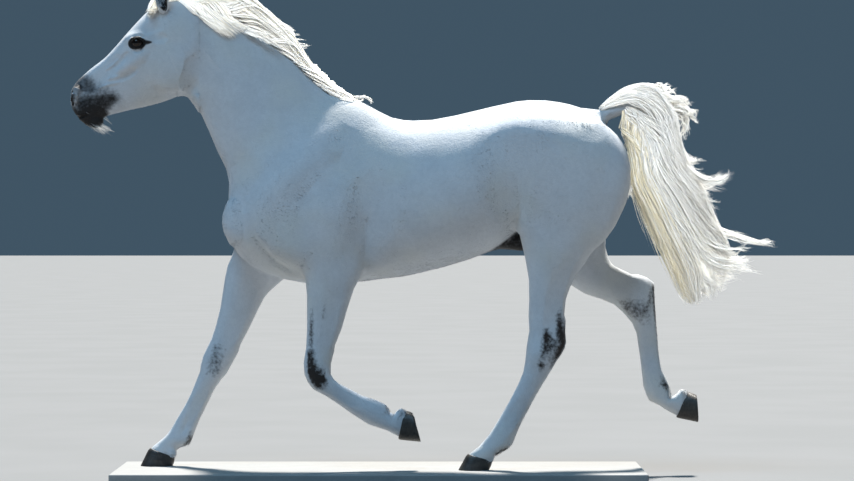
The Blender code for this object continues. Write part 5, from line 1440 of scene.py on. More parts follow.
WISPS = (                         # strands blown out of the tail
    [(1.0, -0.01, 1.515, 0.014, 0.02), (1.05, -0.01, 1.507, 0.01, 0.016),
     (1.122, -0.01, 1.491, 0.006, 0.006)],
    [(1.02, -0.02, 1.49, 0.02, 0.02), (1.1, -0.02, 1.462, 0.016, 0.014), (1.188, -0.02, 1.446, 0.008, 0.006)],
    [(1.04, 0.01, 1.46, 0.02, 0.02), (1.11, 0.01, 1.43, 0.018, 0.014), (1.172, 0.0, 1.425, 0.012, 0.008)],
    [(1.08, -0.01, 1.43, 0.018, 0.018), (1.15, -0.01, 1.405, 0.02, 0.014), (1.186, 0.0, 1.375, 0.014, 0.01)],
    [(1.08, 0.0, 1.43, 0.018, 0.018), (1.136, 0.0, 1.39, 0.016, 0.014), (1.142, 0.0, 1.338, 0.014, 0.012),
     (1.13, 0.0, 1.285, 0.01, 0.01)],
    [(1.1, 0.01, 1.28, 0.02, 0.018), (1.15, 0.01, 1.222, 0.012, 0.012), (1.222, 0.0, 1.2, 0.012, 0.006)],
    [(1.09, -0.01, 1.26, 0.026, 0.022), (1.145, -0.02, 1.185, 0.018, 0.016),
     (1.225, -0.03, 1.138, 0.012, 0.012),
     (1.29, -0.03, 1.146, 0.016, 0.01), (1.334, -0.03, 1.175, 0.018, 0.008)],
    [(1.08, 0.0, 1.22, 0.028, 0.024), (1.14, 0.01, 1.15, 0.024, 0.02), (1.205, 0.01, 1.112, 0.02, 0.014),
     (1.312, 0.01, 1.108, 0.02, 0.01)],
    [(1.09, -0.02, 1.17, 0.03, 0.026), (1.15, -0.02, 1.105, 0.026, 0.022),
     (1.225, -0.01, 1.055, 0.024, 0.016),
     (1.297, 0.0, 1.032, 0.026, 0.012)],
    [(1.12, 0.02, 1.11, 0.028, 0.024), (1.175, 0.02, 1.055, 0.022, 0.02), (1.232, 0.02, 0.998, 0.018, 0.014),
     (1.274, 0.02, 0.944, 0.01, 0.008)],
    [(1.1, 0.0, 1.06, 0.034, 0.028), (1.164, 0.0, 0.994, 0.03, 0.024), (1.256, 0.0, 0.945, 0.02, 0.018),
     (1.347, 0.01, 0.912, 0.012, 0.012), (1.42, 0.01, 0.89, 0.007, 0.007), (1.475, 0.01, 0.887, 0.003, 0.003),
     (1.518, 0.01, 0.866, 0.002, 0.002)],
    [(1.13, -0.01, 0.975, 0.03, 0.026), (1.201, -0.02, 0.909, 0.022, 0.02),
     (1.286, -0.02, 0.866, 0.012, 0.012),
     (1.347, -0.02, 0.854, 0.008, 0.008), (1.414, -0.02, 0.883, 0.006, 0.006)],
    [(1.16, 0.01, 0.93, 0.03, 0.026), (1.237, 0.01, 0.85, 0.022, 0.018), (1.323, 0.02, 0.829, 0.014, 0.012),
     (1.371, 0.02, 0.818, 0.01, 0.01), (1.414, 0.02, 0.842, 0.008, 0.008)],
    [(1.14, -0.01, 0.92, 0.034, 0.028), (1.2, -0.02, 0.85, 0.034, 0.024), (1.28, -0.02, 0.806, 0.034, 0.018),
     (1.36, -0.02, 0.788, 0.034, 0.014), (1.448, -0.02, 0.782, 0.034, 0.01)],
    [(1.17, 0.0, 0.9, 0.036, 0.026), (1.24, 0.0, 0.83, 0.034, 0.024), (1.33, 0.0, 0.795, 0.034, 0.02),
     (1.44, 0.0, 0.762, 0.032, 0.012)],
    [(1.15, 0.02, 0.88, 0.034, 0.028), (1.21, 0.02, 0.8, 0.032, 0.022), (1.29, 0.02, 0.766, 0.032, 0.016),
     (1.408, 0.01, 0.752, 0.03, 0.01)],
    [(1.14, 0.0, 0.86, 0.036, 0.026), (1.2, 0.01, 0.78, 0.034, 0.022), (1.26, 0.01, 0.735, 0.026, 0.016),
     (1.33, 0.0, 0.72, 0.016, 0.01)],
    [(1.14, -0.01, 0.84, 0.034, 0.026), (1.19, -0.01, 0.76, 0.028, 0.02), (1.245, -0.01, 0.708, 0.022, 0.014),
     (1.276, 0.0, 0.67, 0.016, 0.01)],
    [(1.12, 0.01, 0.83, 0.034, 0.024), (1.165, 0.01, 0.745, 0.028, 0.018), (1.21, 0.01, 0.688, 0.024, 0.014),
     (1.238, 0.01, 0.648, 0.016, 0.008)],
    [(1.09, 0.0, 0.83, 0.026, 0.02), (1.115, 0.0, 0.762, 0.02, 0.016), (1.132, 0.0, 0.7, 0.014, 0.01),
     (1.158, 0.0, 0.64, 0.008, 0.006)],
    [(0.955, -0.01, 1.16, 0.014, 0.018), (0.925, -0.01, 1.11, 0.01, 0.014),
     (0.912, -0.01, 1.085, 0.008, 0.008),
     (0.924, -0.01, 1.052, 0.006, 0.006)],
    [(1.02, 0.0, 1.02, 0.012, 0.018), (1.003, 0.0, 0.965, 0.008, 0.012), (0.994, 0.0, 0.936, 0.005, 0.006)],
    [(1.06, 0.01, 0.95, 0.012, 0.018), (1.035, 0.01, 0.9, 0.008, 0.012), (1.024, 0.01, 0.868, 0.005, 0.006)],
)


CROUP_MIDDLE = [                  # hair over the dock, as guides (x, y, z, depth, width)
    (0.797, 0.0, 1.424, 0.005, 0.012), (0.846, 0.0, 1.462, 0.01, 0.016), (0.908, 0.0, 1.5, 0.012, 0.02),
    (0.975, 0.0, 1.512, 0.014, 0.024), (1.04, 0.0, 1.49, 0.014, 0.024), (1.09, 0.0, 1.43, 0.014, 0.024),
]
CROUP_SIDES = (                   # and on both sides of it
    [(0.797, 0.013, 1.423, 0.005, 0.008), (0.846, 0.02, 1.455, 0.012, 0.012),
     (0.908, 0.026, 1.482, 0.016, 0.014),
     (0.975, 0.032, 1.485, 0.018, 0.016), (1.045, 0.036, 1.44, 0.02, 0.018),
     (1.08, 0.042, 1.37, 0.022, 0.016)],
    [(0.8, 0.02, 1.418, 0.004, 0.006), (0.85, 0.028, 1.44, 0.01, 0.008), (0.91, 0.034, 1.455, 0.014, 0.01),
     (0.975, 0.04, 1.445, 0.02, 0.012), (1.025, 0.046, 1.39, 0.022, 0.014),
     (1.055, 0.048, 1.31, 0.022, 0.012)],
)
CROUP_HAIR = [CROUP_MIDDLE] + [mirrored(rows, side) for rows in CROUP_SIDES for side in (-1, 1)]


def make_wisps(name, guides, strands, each, width, material, loose, at_root=False):
    """Hair blown out along guides (x, y, z, depth, width). Each guide splits into strands of a few locks,
    which end at different places and part from one another towards their tips. At_root keeps their roots
    together."""
    length = LOCK_POINTS
    each_strand = (len(guides) * strands, 1)
    strand_of = np.repeat(np.arange(len(guides) * strands), each)
    guide_of = strand_of // strands
    count = len(strand_of)
    steps = np.array([len(rows) - 1 for rows in guides])[guide_of][:, None]
    t = np.linspace(0, 1, length)[None, :]
    first = random.uniform(0, 0.20, each_strand)[strand_of] * (1 - 0.9 * at_root)
    last = random.uniform(0, 1, each_strand)[strand_of] ** 0.75
    last = (0.46 + 0.54 * last) * random.uniform(0.86, 1.0, (count, 1))
    s = (first + (last - first) * t) * steps
    row = np.zeros((count, length, 5))
    for number, rows in enumerate(guides):
        row[guide_of == number] = along_rows(rows, s[guide_of == number])
    turn = random.uniform(0, 2 * pi, each_strand)[strand_of]
    radius = np.sqrt(random.uniform(0.05, 1, each_strand))[strand_of]
    way = unit(np.gradient(row[..., :3], axis=1))
    deep = unit(np.cross(way, (0, 1, 0)))
    offset = random.normal(0, 0.13, (count, 2))
    high = row[..., 3] * (radius * np.cos(turn) + offset[:, :1])
    wide = row[..., 4] * (radius * np.sin(turn) + offset[:, 1:])
    out = deep * high[..., None] + np.array((0, 1, 0)) * wide[..., None]
    paths = waves(waves(row[..., :3] + out, loose, 1.3, clump=strand_of), 0.3 * loose, 2.0)
    on_map = np.stack([(guide_of + 0.5) / len(guides), turn[:, 0] / 7 + 0.05], 1)
    on_map += random.uniform(-0.02, 0.02, (count, 2))
    tints = random.uniform(0.6, 1.0, count)
    widths = taper(count, length, width)
    return lock_mesh(name, paths, widths, out + 1e-4 * deep, on_map, material, 0.5, tints)


def crest_at(s):
    """The crest at fractional places: x, z and the mane's height there."""
    rows = [(x, z, lift + 0.9 * depth) for (x, z), lift, depth in zip(CREST, MANE_LIFTS, MANE_DEPTHS)]
    return along_rows(rows, s)


def make_blown_mane(tree, material):
    """The part of the mane that stands off the crest and streams back."""
    count, length, clumps = MANE_LOCKS, LOCK_POINTS, 170
    clump, own = clumped(count, clumps)
    start = np.clip(random.uniform(0.2, 9.4, clumps)[clump] + 0.22 * own[:, 0], 0.1, 9.6)
    reach = random.uniform(1.6, 3.4, clumps)[clump] + 0.2 * random.normal(0, 1, count)
    high = random.uniform(0.15, 1.0, clumps)[clump]
    side = random.uniform(-1, 1, clumps)[clump] + 0.3 * own[:, 1]
    t = np.linspace(0, 1, length)[None, :]
    s = np.clip(start[:, None] + reach[:, None] * t**1.1, 0, 10)
    here = crest_at(s)
    lift = high[:, None] * here[..., 2] * step_between(0, 0.45, t) + 0.008 * own[:, :1] * (1 - t)
    y = 0.024 * side[:, None] * (1 - 0.3 * t) + 0.006 * t
    paths = np.stack([here[..., 0] + 0.3 * lift, y, here[..., 1] - 0.004 + lift], 2)
    paths = waves(waves(paths, 0.006, 0.9, clump=clump), 0.003, 1.4)
    paths = keep_off(tree, paths, 0.002)
    outs = np.stack([0.3 + 0 * y, y * 30 - 0.3, 1 + 0 * y], 2)
    tints = random.uniform(0.45, 1.0, count)
    on_map = np.stack([0.02 + 0.95 * start / 10, 0.02 + 0.45 * (side + 2) / 4], 1)
    on_map += random.uniform(0, 0.02, (count, 2))
    return lock_mesh("mane_blown", paths, taper(count, length, 0.0038), outs, on_map, material, 0.5, tints)


def make_fallen_mane(tree, material):
    """The part that falls down the right side of the neck, and some over the left near the poll."""
    count, length, clumps = MANE_LOCKS, LOCK_POINTS, 150
    clump, own = clumped(count, clumps)
    start = np.clip(random.uniform(0.8, 9.3, clumps)[clump] + 0.20 * own[:, 0], 0.3, 9.6)
    drop = random.uniform(0.12, 0.24, clumps)[clump] * random.uniform(0.85, 1.1, count)
    drop *= np.interp(start, (0, 1.5, 8, 10), (0.5, 1.0, 0.9, 0.35))
    near = (random.random(clumps)[clump] < 0.40) & (start < 2.9)
    side = np.where(near, -1.0, 1.0)
    drop = np.where(near, np.interp(start, (1.5, 2.9), (0.32, 0.12)) * drop, drop)
    back = np.where(near, 0.20, random.uniform(0.05, 0.12, count))
    t = np.linspace(0, 1, length)[None, :]
    here = crest_at(start[:, None] + 0 * t)
    rise = 0.30 * here[..., 2] * np.sin(pi * np.clip(t * 2.2, 0, 1)) * random.uniform(0.3, 1.2, (count, 1))
    slope = np.where(near, -0.9, 0.0)[:, None]
    x = here[..., 0] + back[:, None] * t + 0.010 * own[:, :1] * (1 - 0.5 * t)
    z = here[..., 1] + rise - drop[:, None] * t**1.25 + slope * 0.55 * back[:, None] * t
    y = side[:, None] * (0.004 + 0.11 * t**0.7 * np.where(near, 0.35, 1.0)[:, None])
    paths = waves(waves(np.stack([x, y, z], 2), 0.005, 0.9, clump=clump), 0.003, 1.4)
    layer = random.uniform(0.003, 0.016, (count, 1)) * np.linspace(0.4, 1, length)[None, :]
    paths = keep_off(tree, paths, layer)
    outs = np.stack([0.1 + 0 * y, side[:, None] + 0 * y, 0.5 + 0 * y], 2)
    tints = random.uniform(0.35, 1.0, count)
    on_map = np.stack([0.02 + 0.95 * start / 10, 0.52 + 0.2 * (side + 1) / 2], 1)
    on_map += random.uniform(0, 0.2, (count, 2)) * (0.05, 1)
    return lock_mesh("mane_fallen", paths, taper(count, length, 0.0038), outs, on_map, material, 0.5, tints)


MANE_WISPS = (
    [(-0.7, 0.01, 1.868, 0.016, 0.016), (-0.62, 0.012, 1.85, 0.016, 0.014),
     (-0.54, 0.014, 1.812, 0.012, 0.01), (-0.47, 0.016, 1.772, 0.004, 0.006)],
    [(-0.64, 0.01, 1.82, 0.022, 0.02), (-0.55, 0.012, 1.792, 0.02, 0.016),
     (-0.46, 0.014, 1.752, 0.014, 0.012), (-0.394, 0.016, 1.729, 0.006, 0.006)],
    [(-0.62, 0.01, 1.8, 0.026, 0.02), (-0.53, 0.012, 1.76, 0.022, 0.016),
     (-0.44, 0.016, 1.716, 0.014, 0.012), (-0.367, 0.02, 1.704, 0.006, 0.006)],
    [(-0.58, 0.006, 1.775, 0.026, 0.018), (-0.5, 0.008, 1.728, 0.022, 0.014),
     (-0.42, 0.012, 1.682, 0.014, 0.01), (-0.347, 0.018, 1.677, 0.005, 0.005)],
    [(-0.55, 0.0, 1.75, 0.024, 0.018), (-0.47, 0.002, 1.69, 0.018, 0.012),
     (-0.41, 0.004, 1.648, 0.012, 0.01), (-0.361, 0.006, 1.637, 0.006, 0.006)],
    [(-0.62, -0.04, 1.735, 0.014, 0.006), (-0.56, -0.046, 1.712, 0.012, 0.006),
     (-0.5, -0.05, 1.682, 0.008, 0.004), (-0.455, -0.052, 1.665, 0.003, 0.003)],
    [(-0.26, 0.006, 1.484, 0.014, 0.01), (-0.2, 0.012, 1.462, 0.01, 0.008),
     (-0.16, 0.018, 1.452, 0.006, 0.006),
     (-0.128, 0.022, 1.482, 0.004, 0.004)],
    [(-0.21, 0.006, 1.466, 0.008, 0.008), (-0.15, 0.012, 1.472, 0.004, 0.004),
     (-0.122, 0.014, 1.462, 0.003, 0.003),
     (-0.113, 0.016, 1.436, 0.002, 0.002)],
)


def make_forelock(tree, material):
    """The forelock: from between the ears, down the forehead and to the left of it."""
    count, length, clumps = FORELOCK_LOCKS, 10, 30
    clump, own = clumped(count, clumps)
    across = random.uniform(-1, 1, clumps)[clump]
    long = random.uniform(0.05, 0.108, clumps)[clump] * random.uniform(0.85, 1.1, count)
    t = np.linspace(0, 1, length)[None, :]
    root = np.stack([-0.930 + 0.012 * own[:, 0],
                     0.022 * across + 0.008 * own[:, 1],
                     np.full(count, 1.858)], 1)
    way = unit(np.stack([-0.55 + 0.2 * across, 0.60 * across - 0.25, -0.62 + 0.1 * across], 1))
    paths = root[:, None] + way[:, None] * long[:, None, None] * t[..., None]
    paths[..., 2] += 0.024 * np.sin(pi * np.clip(1.4 * t, 0, 1))
    paths[..., 0] -= 0.012 * np.sin(pi * t)
    paths = waves(waves(paths, 0.009, 1.2, clump=clump), 0.003, 1.6)
    layer = random.uniform(0.001, 0.012, (count, 1)) * np.ones((1, length))
    paths = keep_off(tree, paths, layer)
    outs = np.zeros_like(paths) + (-0.6, 0, 0.8)
    on_map = np.stack([0.1 + 0.35 * (across + 1), 0.1 + 0.8 * random.random(count)], 1)
    return lock_mesh("forelock_locks", paths, taper(count, length, 0.0036), outs, on_map, material, 0.5)


def hair_core(name, clay, inset, triangles, material):
    """What lies inside the locks, so that no light shows through where they are thick."""
    core = mesh_object(name, *clay.surface(inset), material)
    thin(core, triangles)
    paint_points(core.data, "lock", np.full((len(core.data.vertices), 1), CORE_TONE))
    return core


# ---------------------------------------------------------------- ears, eyes, hooves, whiskers
def make_ear(side, word, material):
    ear = mesh_object(f"ear_{word}_skin", *ear_clay(side, EAR_VOXEL).surface(0.0008), material)
    thin(ear, EAR_TRIANGLES)
    points = points_of(ear.data)
    marks = np.zeros((len(points), 3))
    root = ear_root(side)
    local = (points - root) * (1, side, 1)
    normals = normals_of(ear.data) * (1, side, 1)
    facing = step_between(-0.3, 0.2, normals[:, 1] * 0.8 - normals[:, 0] * 0.6)
    inside = near_strand(local, [(0.013, 0.018, -0.016, 0.009), (0.002, 0.018, 0.008, 0.017),
                                 (-0.014, 0.022, 0.050, 0.027), (-0.024, 0.024, 0.110, 0.015)], 0.3, False)
    marks[:, 0] = facing * inside
    marks[:, 1] = 0.8 * marks[:, 0]
    paint_points(ear.data, "marks", marks)
    return ear


def make_ear_hair(side, word, ear, material):
    """Hairs along the ear's rim and out of its hollow."""
    root = ear_root(side)

    def rim(points, normals):
        local = (points - root) * (1, side, 1)
        inside = near_strand(local, [(-0.014, 0.020, 0.010, 0.020), (-0.016, 0.026, 0.060, 0.026),
                                     (-0.024, 0.026, 0.115, 0.018)], 0.4, False)
        return 0.05 + inside

    count = EAR_HAIRS
    roots, normals = roots_on(ear, count, rim)
    up = unit(np.array((-0.15, 0.0, 1.0)) + 0.5 * normals)
    lies = unit(up - (up * normals).sum(1)[:, None] * normals)
    lengths = random.uniform(0.008, 0.020, count)
    widths = np.full(count, 0.0011)
    lift = np.full(count, 0.25)
    return lay_tufts(f"ear_{word}_hair", roots, normals, lengths, widths, lift, 4, material, lies=lies)


def make_eye(side, word, material):
    """An eyeball with its cornea standing a little proud. Its axis looks out and a little ahead."""
    x, y, z = EYE
    ball = bmesh.new()
    bmesh.ops.create_uvsphere(ball, u_segments=64, v_segments=48, radius=EYE_RADIUS)
    points = np.array([tuple(point.co) for point in ball.verts])
    faces = [[point.index for point in face.verts] for face in ball.faces]
    ball.free()
    bulge = step_between(0.70, 0.98, points[:, 2] / EYE_RADIUS)
    points[:, 2] += 0.0012 * bulge
    look = unit(np.array((-0.30, side * 0.95, 0.05)))
    flat = unit(np.cross(look, (0, 0, 1)))
    upright = np.cross(flat, look)
    world = points[:, :1] * flat + points[:, 1:2] * upright + points[:, 2:] * look
    triangles = [(f[0], f[k], f[k + 1]) for f in faces for k in range(1, len(f) - 1)]
    eye = mesh_object(f"eyeball_{word}", world + (x, side * y, z), triangles, material)
    out = points[:, 2] / EYE_RADIUS
    oval_way = np.hypot(points[:, 0] / 0.0105, points[:, 1] / 0.0055)
    disc = np.hypot(points[:, 0], points[:, 1])
    marks = np.stack([
        (out > 0) * (1 - step_between(0.9, 1.1, oval_way)),
        (out > 0) * (1 - step_between(0.0165, 0.0180, disc)),
        np.clip(disc / 0.018, 0, 1),
    ], 1)
    paint_points(eye.data, "marks", marks)
    return eye


FROG = ((0.10, 0.016, 0.008), (0.35, 0.008, 0.007), (0.62, 0.0, 0.004))    # way to the toe, off middle, size


def moved(row, way, by):
    front_x, front_z, back_x, back_z, half_width = row
    x, z = by * way[0], by * way[1]
    return (front_x + x, front_z + z, back_x + x, back_z + z, half_width)


def make_hoof(leg, material):
    """A hoof with growth rings, a hollowed sole and its frog."""
    _, side, _, y_low = LEGS[leg]
    y = side * y_low
    fine = [tuple(row) for row in curve_through(HOOVES[leg], 10)]
    ringed = [shrunk(row, 1 + 0.006 * sin(2.3 * k) - 0.010) for k, row in enumerate(fine)]
    points, _ = hoof_loft(ringed, y, 64)
    clay = Clay(points.min(0) - 0.01, points.max(0) + 0.01, HOOF_VOXEL, 0.012)
    clay.add(hoof_loft(ringed, y, 64), 0.001)
    sole, above = HOOVES[leg][-1], HOOVES[leg][-2]
    way = np.array((sole[0] + sole[2] - above[0] - above[2], sole[1] + sole[3] - above[1] - above[3]))
    way /= np.linalg.norm(way)
    bowl = (moved(shrunk(sole, 0.84), way, 0.008), shrunk(sole, 0.82), moved(shrunk(sole, 0.60), way, -0.009))
    clay.carve(hoof_loft(bowl, y, 48), 0.003)
    heel, toe = np.array((sole[2], sole[3])), np.array((sole[0], sole[1]))
    for out in (-1, 1):
        frog = []
        for share, off, size in FROG:
            x, z = heel + share * (toe - heel) - 0.006 * way
            frog.append((x, y + off * out, z, size, size))
        clay.add(strand(frog), 0.003)
    return mesh_object(f"{leg}_horn", *clay.surface(), material)


def make_whiskers(skin, material):
    """Long pale hairs on the chin, and a few short ones on the lips."""

    def on_lips(p, n):
        chin = near_strand(p, [(-1.235, 0.0, 1.355, 0.028), (-1.185, 0.0, 1.362, 0.030)], 0.5, False)
        lips = 0.03 * near_strand(p, [(-1.29, 0.03, 1.41, 0.040), (-1.26, 0.03, 1.40, 0.030)], 0.5)
        return chin * step_between(-0.1, -0.7, n[:, 2]) + lips

    count, length = WHISKERS, 7
    roots, normals = roots_on(skin, count, on_lips)
    back = unit(np.array((0.90, 0.0, -0.42)) + 0.15 * normals + random.normal(0, 0.12, (count, 3)))
    lengths = np.where(roots[:, 0] > -1.25, random.uniform(0.020, 0.064, count), 0.012)
    t = np.linspace(0, 1, length)[None, :, None]
    paths = roots[:, None] - 0.001 * normals[:, None] + back[:, None] * lengths[:, None, None] * t
    paths = waves(paths, 0.004, 0.7)
    paths[..., 2] -= 0.10 * lengths[:, None] * t[..., 0] ** 2
    widths = taper(count, length, 0.0010, 0.9, 0.4)
    outs = np.repeat(normals[:, None], length, 1)
    on_map = map_place(place_in_body(roots))
    return lock_mesh("whiskers", paths, widths, outs, on_map, material, 0.8, np.ones(count))


def make_lashes(side, word, material):
    """Lashes along the upper lid."""
    x, y, z = EYE
    count, length = LASHES, 6
    t = np.linspace(0.08, 0.92, count) + random.normal(0, 0.01, count)
    lid = along_rows([(x - 0.022, y + 0.015, z + 0.004), (x - 0.013, y + 0.0255, z + 0.0155),
                      (x + 0.002, y + 0.0275, z + 0.0180), (x + 0.016, y + 0.023, z + 0.0120),
                      (x + 0.025, y + 0.014, z + 0.003)], t * 4)[:, :3]
    lid[:, 1] *= side
    away = unit(lid - (x, side * y, z))
    way = unit(away + np.array((0.0, side * 0.9, -0.55)) + random.normal(0, 0.12, (count, 3)))
    u = np.linspace(0, 1, length)[None, :, None]
    lengths = random.uniform(0.010, 0.019, count)[:, None, None]
    paths = lid[:, None] + way[:, None] * lengths * u + np.array((0, 0, 0.25)) * lengths * u**2
    outs = np.repeat(away[:, None], length, 1)
    on_map = np.stack([0.1 + 0.8 * t, np.full(count, 0.5)], 1)
    widths = taper(count, length, 0.0009, 1.0, 0.4)
    lashes = lock_mesh(f"lashes_{word}", paths, widths, outs, on_map, material, 0.8)
    paint_points(lashes.data, "marks", np.tile((1.0, 0.6, 0.0), (len(lashes.data.vertices), 1)))
    return lashes


# ---------------------------------------------------------------- materials
MIX_SHARE, MIX_A, MIX_B, MIX_COLOUR = 0, 6, 7, 2      # a colour mix node's inputs, and its output


class Paint:
    """A material's node tree, with short ways to make its nodes."""

    def __init__(self, name, roughness, **uniform):
        self.material = bpy.data.materials.new(name)
        self.material.use_nodes = True
        self.tree = self.material.node_tree
        self.shader = self.tree.nodes["Principled BSDF"]
        self.shader.inputs["Roughness"].default_value = roughness
        for socket, value in uniform.items():
            self.shader.inputs[socket.replace("_", " ")].default_value = value
        self.place = self.tree.nodes.new("ShaderNodeTexCoord").outputs["Object"]

    def join(self, source, socket):
        if isinstance(source, (int, float, tuple)):
            socket.default_value = source
        else:
            self.tree.links.new(source, socket)

    def noise(self, scale, detail=3.0, stretch=(1.0, 1.0, 1.0), turn=(0.0, 0.0, 0.0)):
        mapping = self.tree.nodes.new("ShaderNodeMapping")
        mapping.inputs["Scale"].default_value = stretch
        mapping.inputs["Rotation"].default_value = turn
        self.join(self.place, mapping.inputs["Vector"])
        node = self.tree.nodes.new("ShaderNodeTexNoise")
        node.inputs["Scale"].default_value = scale
        node.inputs["Detail"].default_value = detail
        self.join(mapping.outputs[0], node.inputs["Vector"])
        return node.outputs["Fac"]

    def sums(self, kind, a, b, limited=False):
        node = self.tree.nodes.new("ShaderNodeMath")
        node.operation = kind
        node.use_clamp = limited
        self.join(a, node.inputs[0])
        self.join(b, node.inputs[1])
        return node.outputs[0]

    def stretch(self, value, low, high, out_low=0.0, out_high=1.0):
        """Takes low..high to out_low..out_high, smoothly and no further."""
        node = self.tree.nodes.new("ShaderNodeMapRange")
        node.interpolation_type = "SMOOTHSTEP"
        self.join(value, node.inputs["Value"])
        sockets = {"From Min": low, "From Max": high, "To Min": out_low, "To Max": out_high}
        for socket, number in sockets.items():
            node.inputs[socket].default_value = number
        return node.outputs[0]

    def mix(self, share, a, b):
        node = self.tree.nodes.new("ShaderNodeMix")
        node.data_type = "RGBA"
        for source, socket in ((share, MIX_SHARE), (a, MIX_A), (b, MIX_B)):
            self.join((*source, 1.0) if isinstance(source, tuple) else source, node.inputs[socket])
        return node.outputs[MIX_COLOUR]

    def stored(self, name):
        """The three values of a colour attribute."""
        attribute = self.tree.nodes.new("ShaderNodeAttribute")
        attribute.attribute_name = name
        split = self.tree.nodes.new("ShaderNodeSeparateColor")
        self.join(attribute.outputs["Color"], split.inputs[0])
        return split.outputs

    def finish(self, colour, bump=None, depth=0.001, roughness=None):
        self.join(colour, self.shader.inputs["Base Color"])
        if roughness is not None:
            self.join(roughness, self.shader.inputs["Roughness"])
        if bump is not None:
            node = self.tree.nodes.new("ShaderNodeBump")
            node.inputs["Distance"].default_value = depth
            self.join(bump, node.inputs["Height"])
            self.join(node.outputs[0], self.shader.inputs["Normal"])
        return self.material


# the coat's white and its darker grey carry a blue tint that is partly painted sky shade, over the coat's own
# grey-white
COAT_WHITE = (0.62, 0.65, 0.69)
COAT_SHADE = (0.47, 0.50, 0.54)
COAT_WARM = (0.63, 0.63, 0.58)
DARK_SKIN = (0.020, 0.018, 0.018)
# nearly black: the skin of the lids, and painted shade inside the nostrils and along the mouth
BLACK_SKIN_AND_SHADE = (0.006, 0.005, 0.005)
MID_SKIN = (0.13, 0.135, 0.145)
SMUDGE = (0.030, 0.024, 0.022)
HAIR_WHITE = (0.93, 0.925, 0.88)
HAIR_CREAM = (0.72, 0.64, 0.44)
HAIR_GREY = (0.50, 0.48, 0.45)


def coat_material():
    paint = Paint("coat", 0.60, Sheen_Weight=0.12, Sheen_Roughness=0.4, Specular_IOR_Level=0.2)
    bare, smudge_and_shade, leg = paint.stored("marks")
    strand_tone = paint.stored("lock")[0]
    fine = paint.noise(320.0, 2.0, (0.45, 1.0, 1.0))
    fine_leg = paint.noise(320.0, 2.0, (1.0, 1.0, 0.35))
    streaks = paint.mix(leg, fine, fine_leg)
    dapples = paint.noise(11.0, 3.0)
    mottle = paint.noise(55.0, 4.0)
    colour = paint.mix(paint.stretch(dapples, 0.35, 0.75, 0.0, 0.35), COAT_WHITE, COAT_SHADE)
    colour = paint.mix(paint.stretch(mottle, 0.35, 0.75, 0.0, 0.30), colour, COAT_SHADE)
    colour = paint.mix(paint.stretch(paint.noise(4.0, 2.0), 0.45, 0.75, 0.0, 0.5), colour, COAT_WARM)
    colour = paint.mix(paint.sums("MULTIPLY", strand_tone, 0.35), colour, COAT_WHITE)
    colour = paint.mix(paint.stretch(streaks, 0.30, 0.75, 0.0, 0.35), colour, COAT_SHADE)
    rough_edge = paint.sums("MULTIPLY", paint.sums("SUBTRACT", paint.noise(90.0, 4.0), 0.5), 0.9)
    mid = paint.stretch(paint.sums("ADD", bare, paint.sums("MULTIPLY", rough_edge, 0.5)), 0.05, 0.60)
    dark = paint.stretch(paint.sums("ADD", bare, rough_edge), 0.45, 0.95)
    has_bare = paint.stretch(bare, 0.0, 0.06)
    colour = paint.mix(paint.sums("MULTIPLY", mid, has_bare), colour, MID_SKIN)
    # bare skin goes nearly black where smudged, and inside the nostrils and along the mouth as painted shade
    skin_tone = paint.mix(smudge_and_shade, DARK_SKIN, BLACK_SKIN_AND_SHADE)
    colour = paint.mix(paint.sums("MULTIPLY", dark, has_bare), colour, skin_tone)
    spots = paint.sums("ADD", smudge_and_shade, paint.sums("MULTIPLY", rough_edge, 0.8))
    off_bare = paint.sums("SUBTRACT", 1.0, dark)
    stained = paint.sums("MULTIPLY", paint.stretch(spots, 0.25, 0.85), paint.stretch(smudge_and_shade, 0.0, 0.10))
    colour = paint.mix(paint.sums("MULTIPLY", stained, off_bare), colour, SMUDGE)
    return paint.finish(colour, paint.sums("ADD", streaks, mottle), 0.0012)


def hair_material():
    paint = Paint("long_hair", 0.45, Sheen_Weight=0.3, Sheen_Roughness=0.4, Subsurface_Weight=0.6)
    paint.shader.inputs["Subsurface Radius"].default_value = (1.0, 0.95, 0.8)
    paint.shader.inputs["Subsurface Scale"].default_value = 0.01
    tone = paint.stored("lock")[0]
    colour = paint.mix(paint.stretch(tone, 0.0, 0.8), HAIR_CREAM, HAIR_WHITE)
    colour = paint.mix(paint.stretch(tone, 0.97, 1.0, 0.0, 0.3), colour, HAIR_GREY)
    colour = paint.mix(paint.stretch(paint.noise(26.0, 3.0), 0.50, 0.80, 0.0, 0.15), colour, HAIR_CREAM)
    return paint.finish(colour, paint.noise(600.0, 2.0, (1.0, 1.0, 0.25)), 0.0004)


def eye_material():
    paint = Paint("eye", 0.06)
    paint.shader.inputs["IOR"].default_value = 1.376
    pupil, iris, radius = paint.stored("marks")
    grain = paint.noise(900.0, 3.0)
    brown = paint.mix(paint.stretch(grain, 0.3, 0.7), (0.026, 0.013, 0.007), (0.012, 0.006, 0.004))
    colour = paint.mix(paint.stretch(radius, 0.75, 1.0), brown, (0.006, 0.004, 0.003))
    colour = paint.mix(iris, (0.020, 0.014, 0.012), colour)
    return paint.finish(paint.mix(pupil, colour, (0.002, 0.002, 0.003)), grain, 0.00003)


def horn_material():
    paint = Paint("hoof_horn", 0.42)
    grain = paint.noise(220.0, 3.0, (1.0, 1.0, 0.2))
    bands = paint.noise(60.0, 2.0, (0.3, 0.3, 1.0))
    colour = paint.mix(paint.stretch(grain, 0.3, 0.7), (0.026, 0.022, 0.019), (0.056, 0.047, 0.039))
    colour = paint.mix(paint.stretch(bands, 0.4, 0.7, 0.0, 0.6), colour, (0.018, 0.015, 0.013))
    dust = paint.stretch(paint.noise(18.0, 4.0), 0.50, 0.80, 0.0, 0.6)
    colour = paint.mix(dust, colour, (0.090, 0.082, 0.066))
    roughness = paint.stretch(grain, 0.3, 0.7, 0.35, 0.6)
    return paint.finish(colour, paint.sums("ADD", grain, bands), 0.0012, roughness)


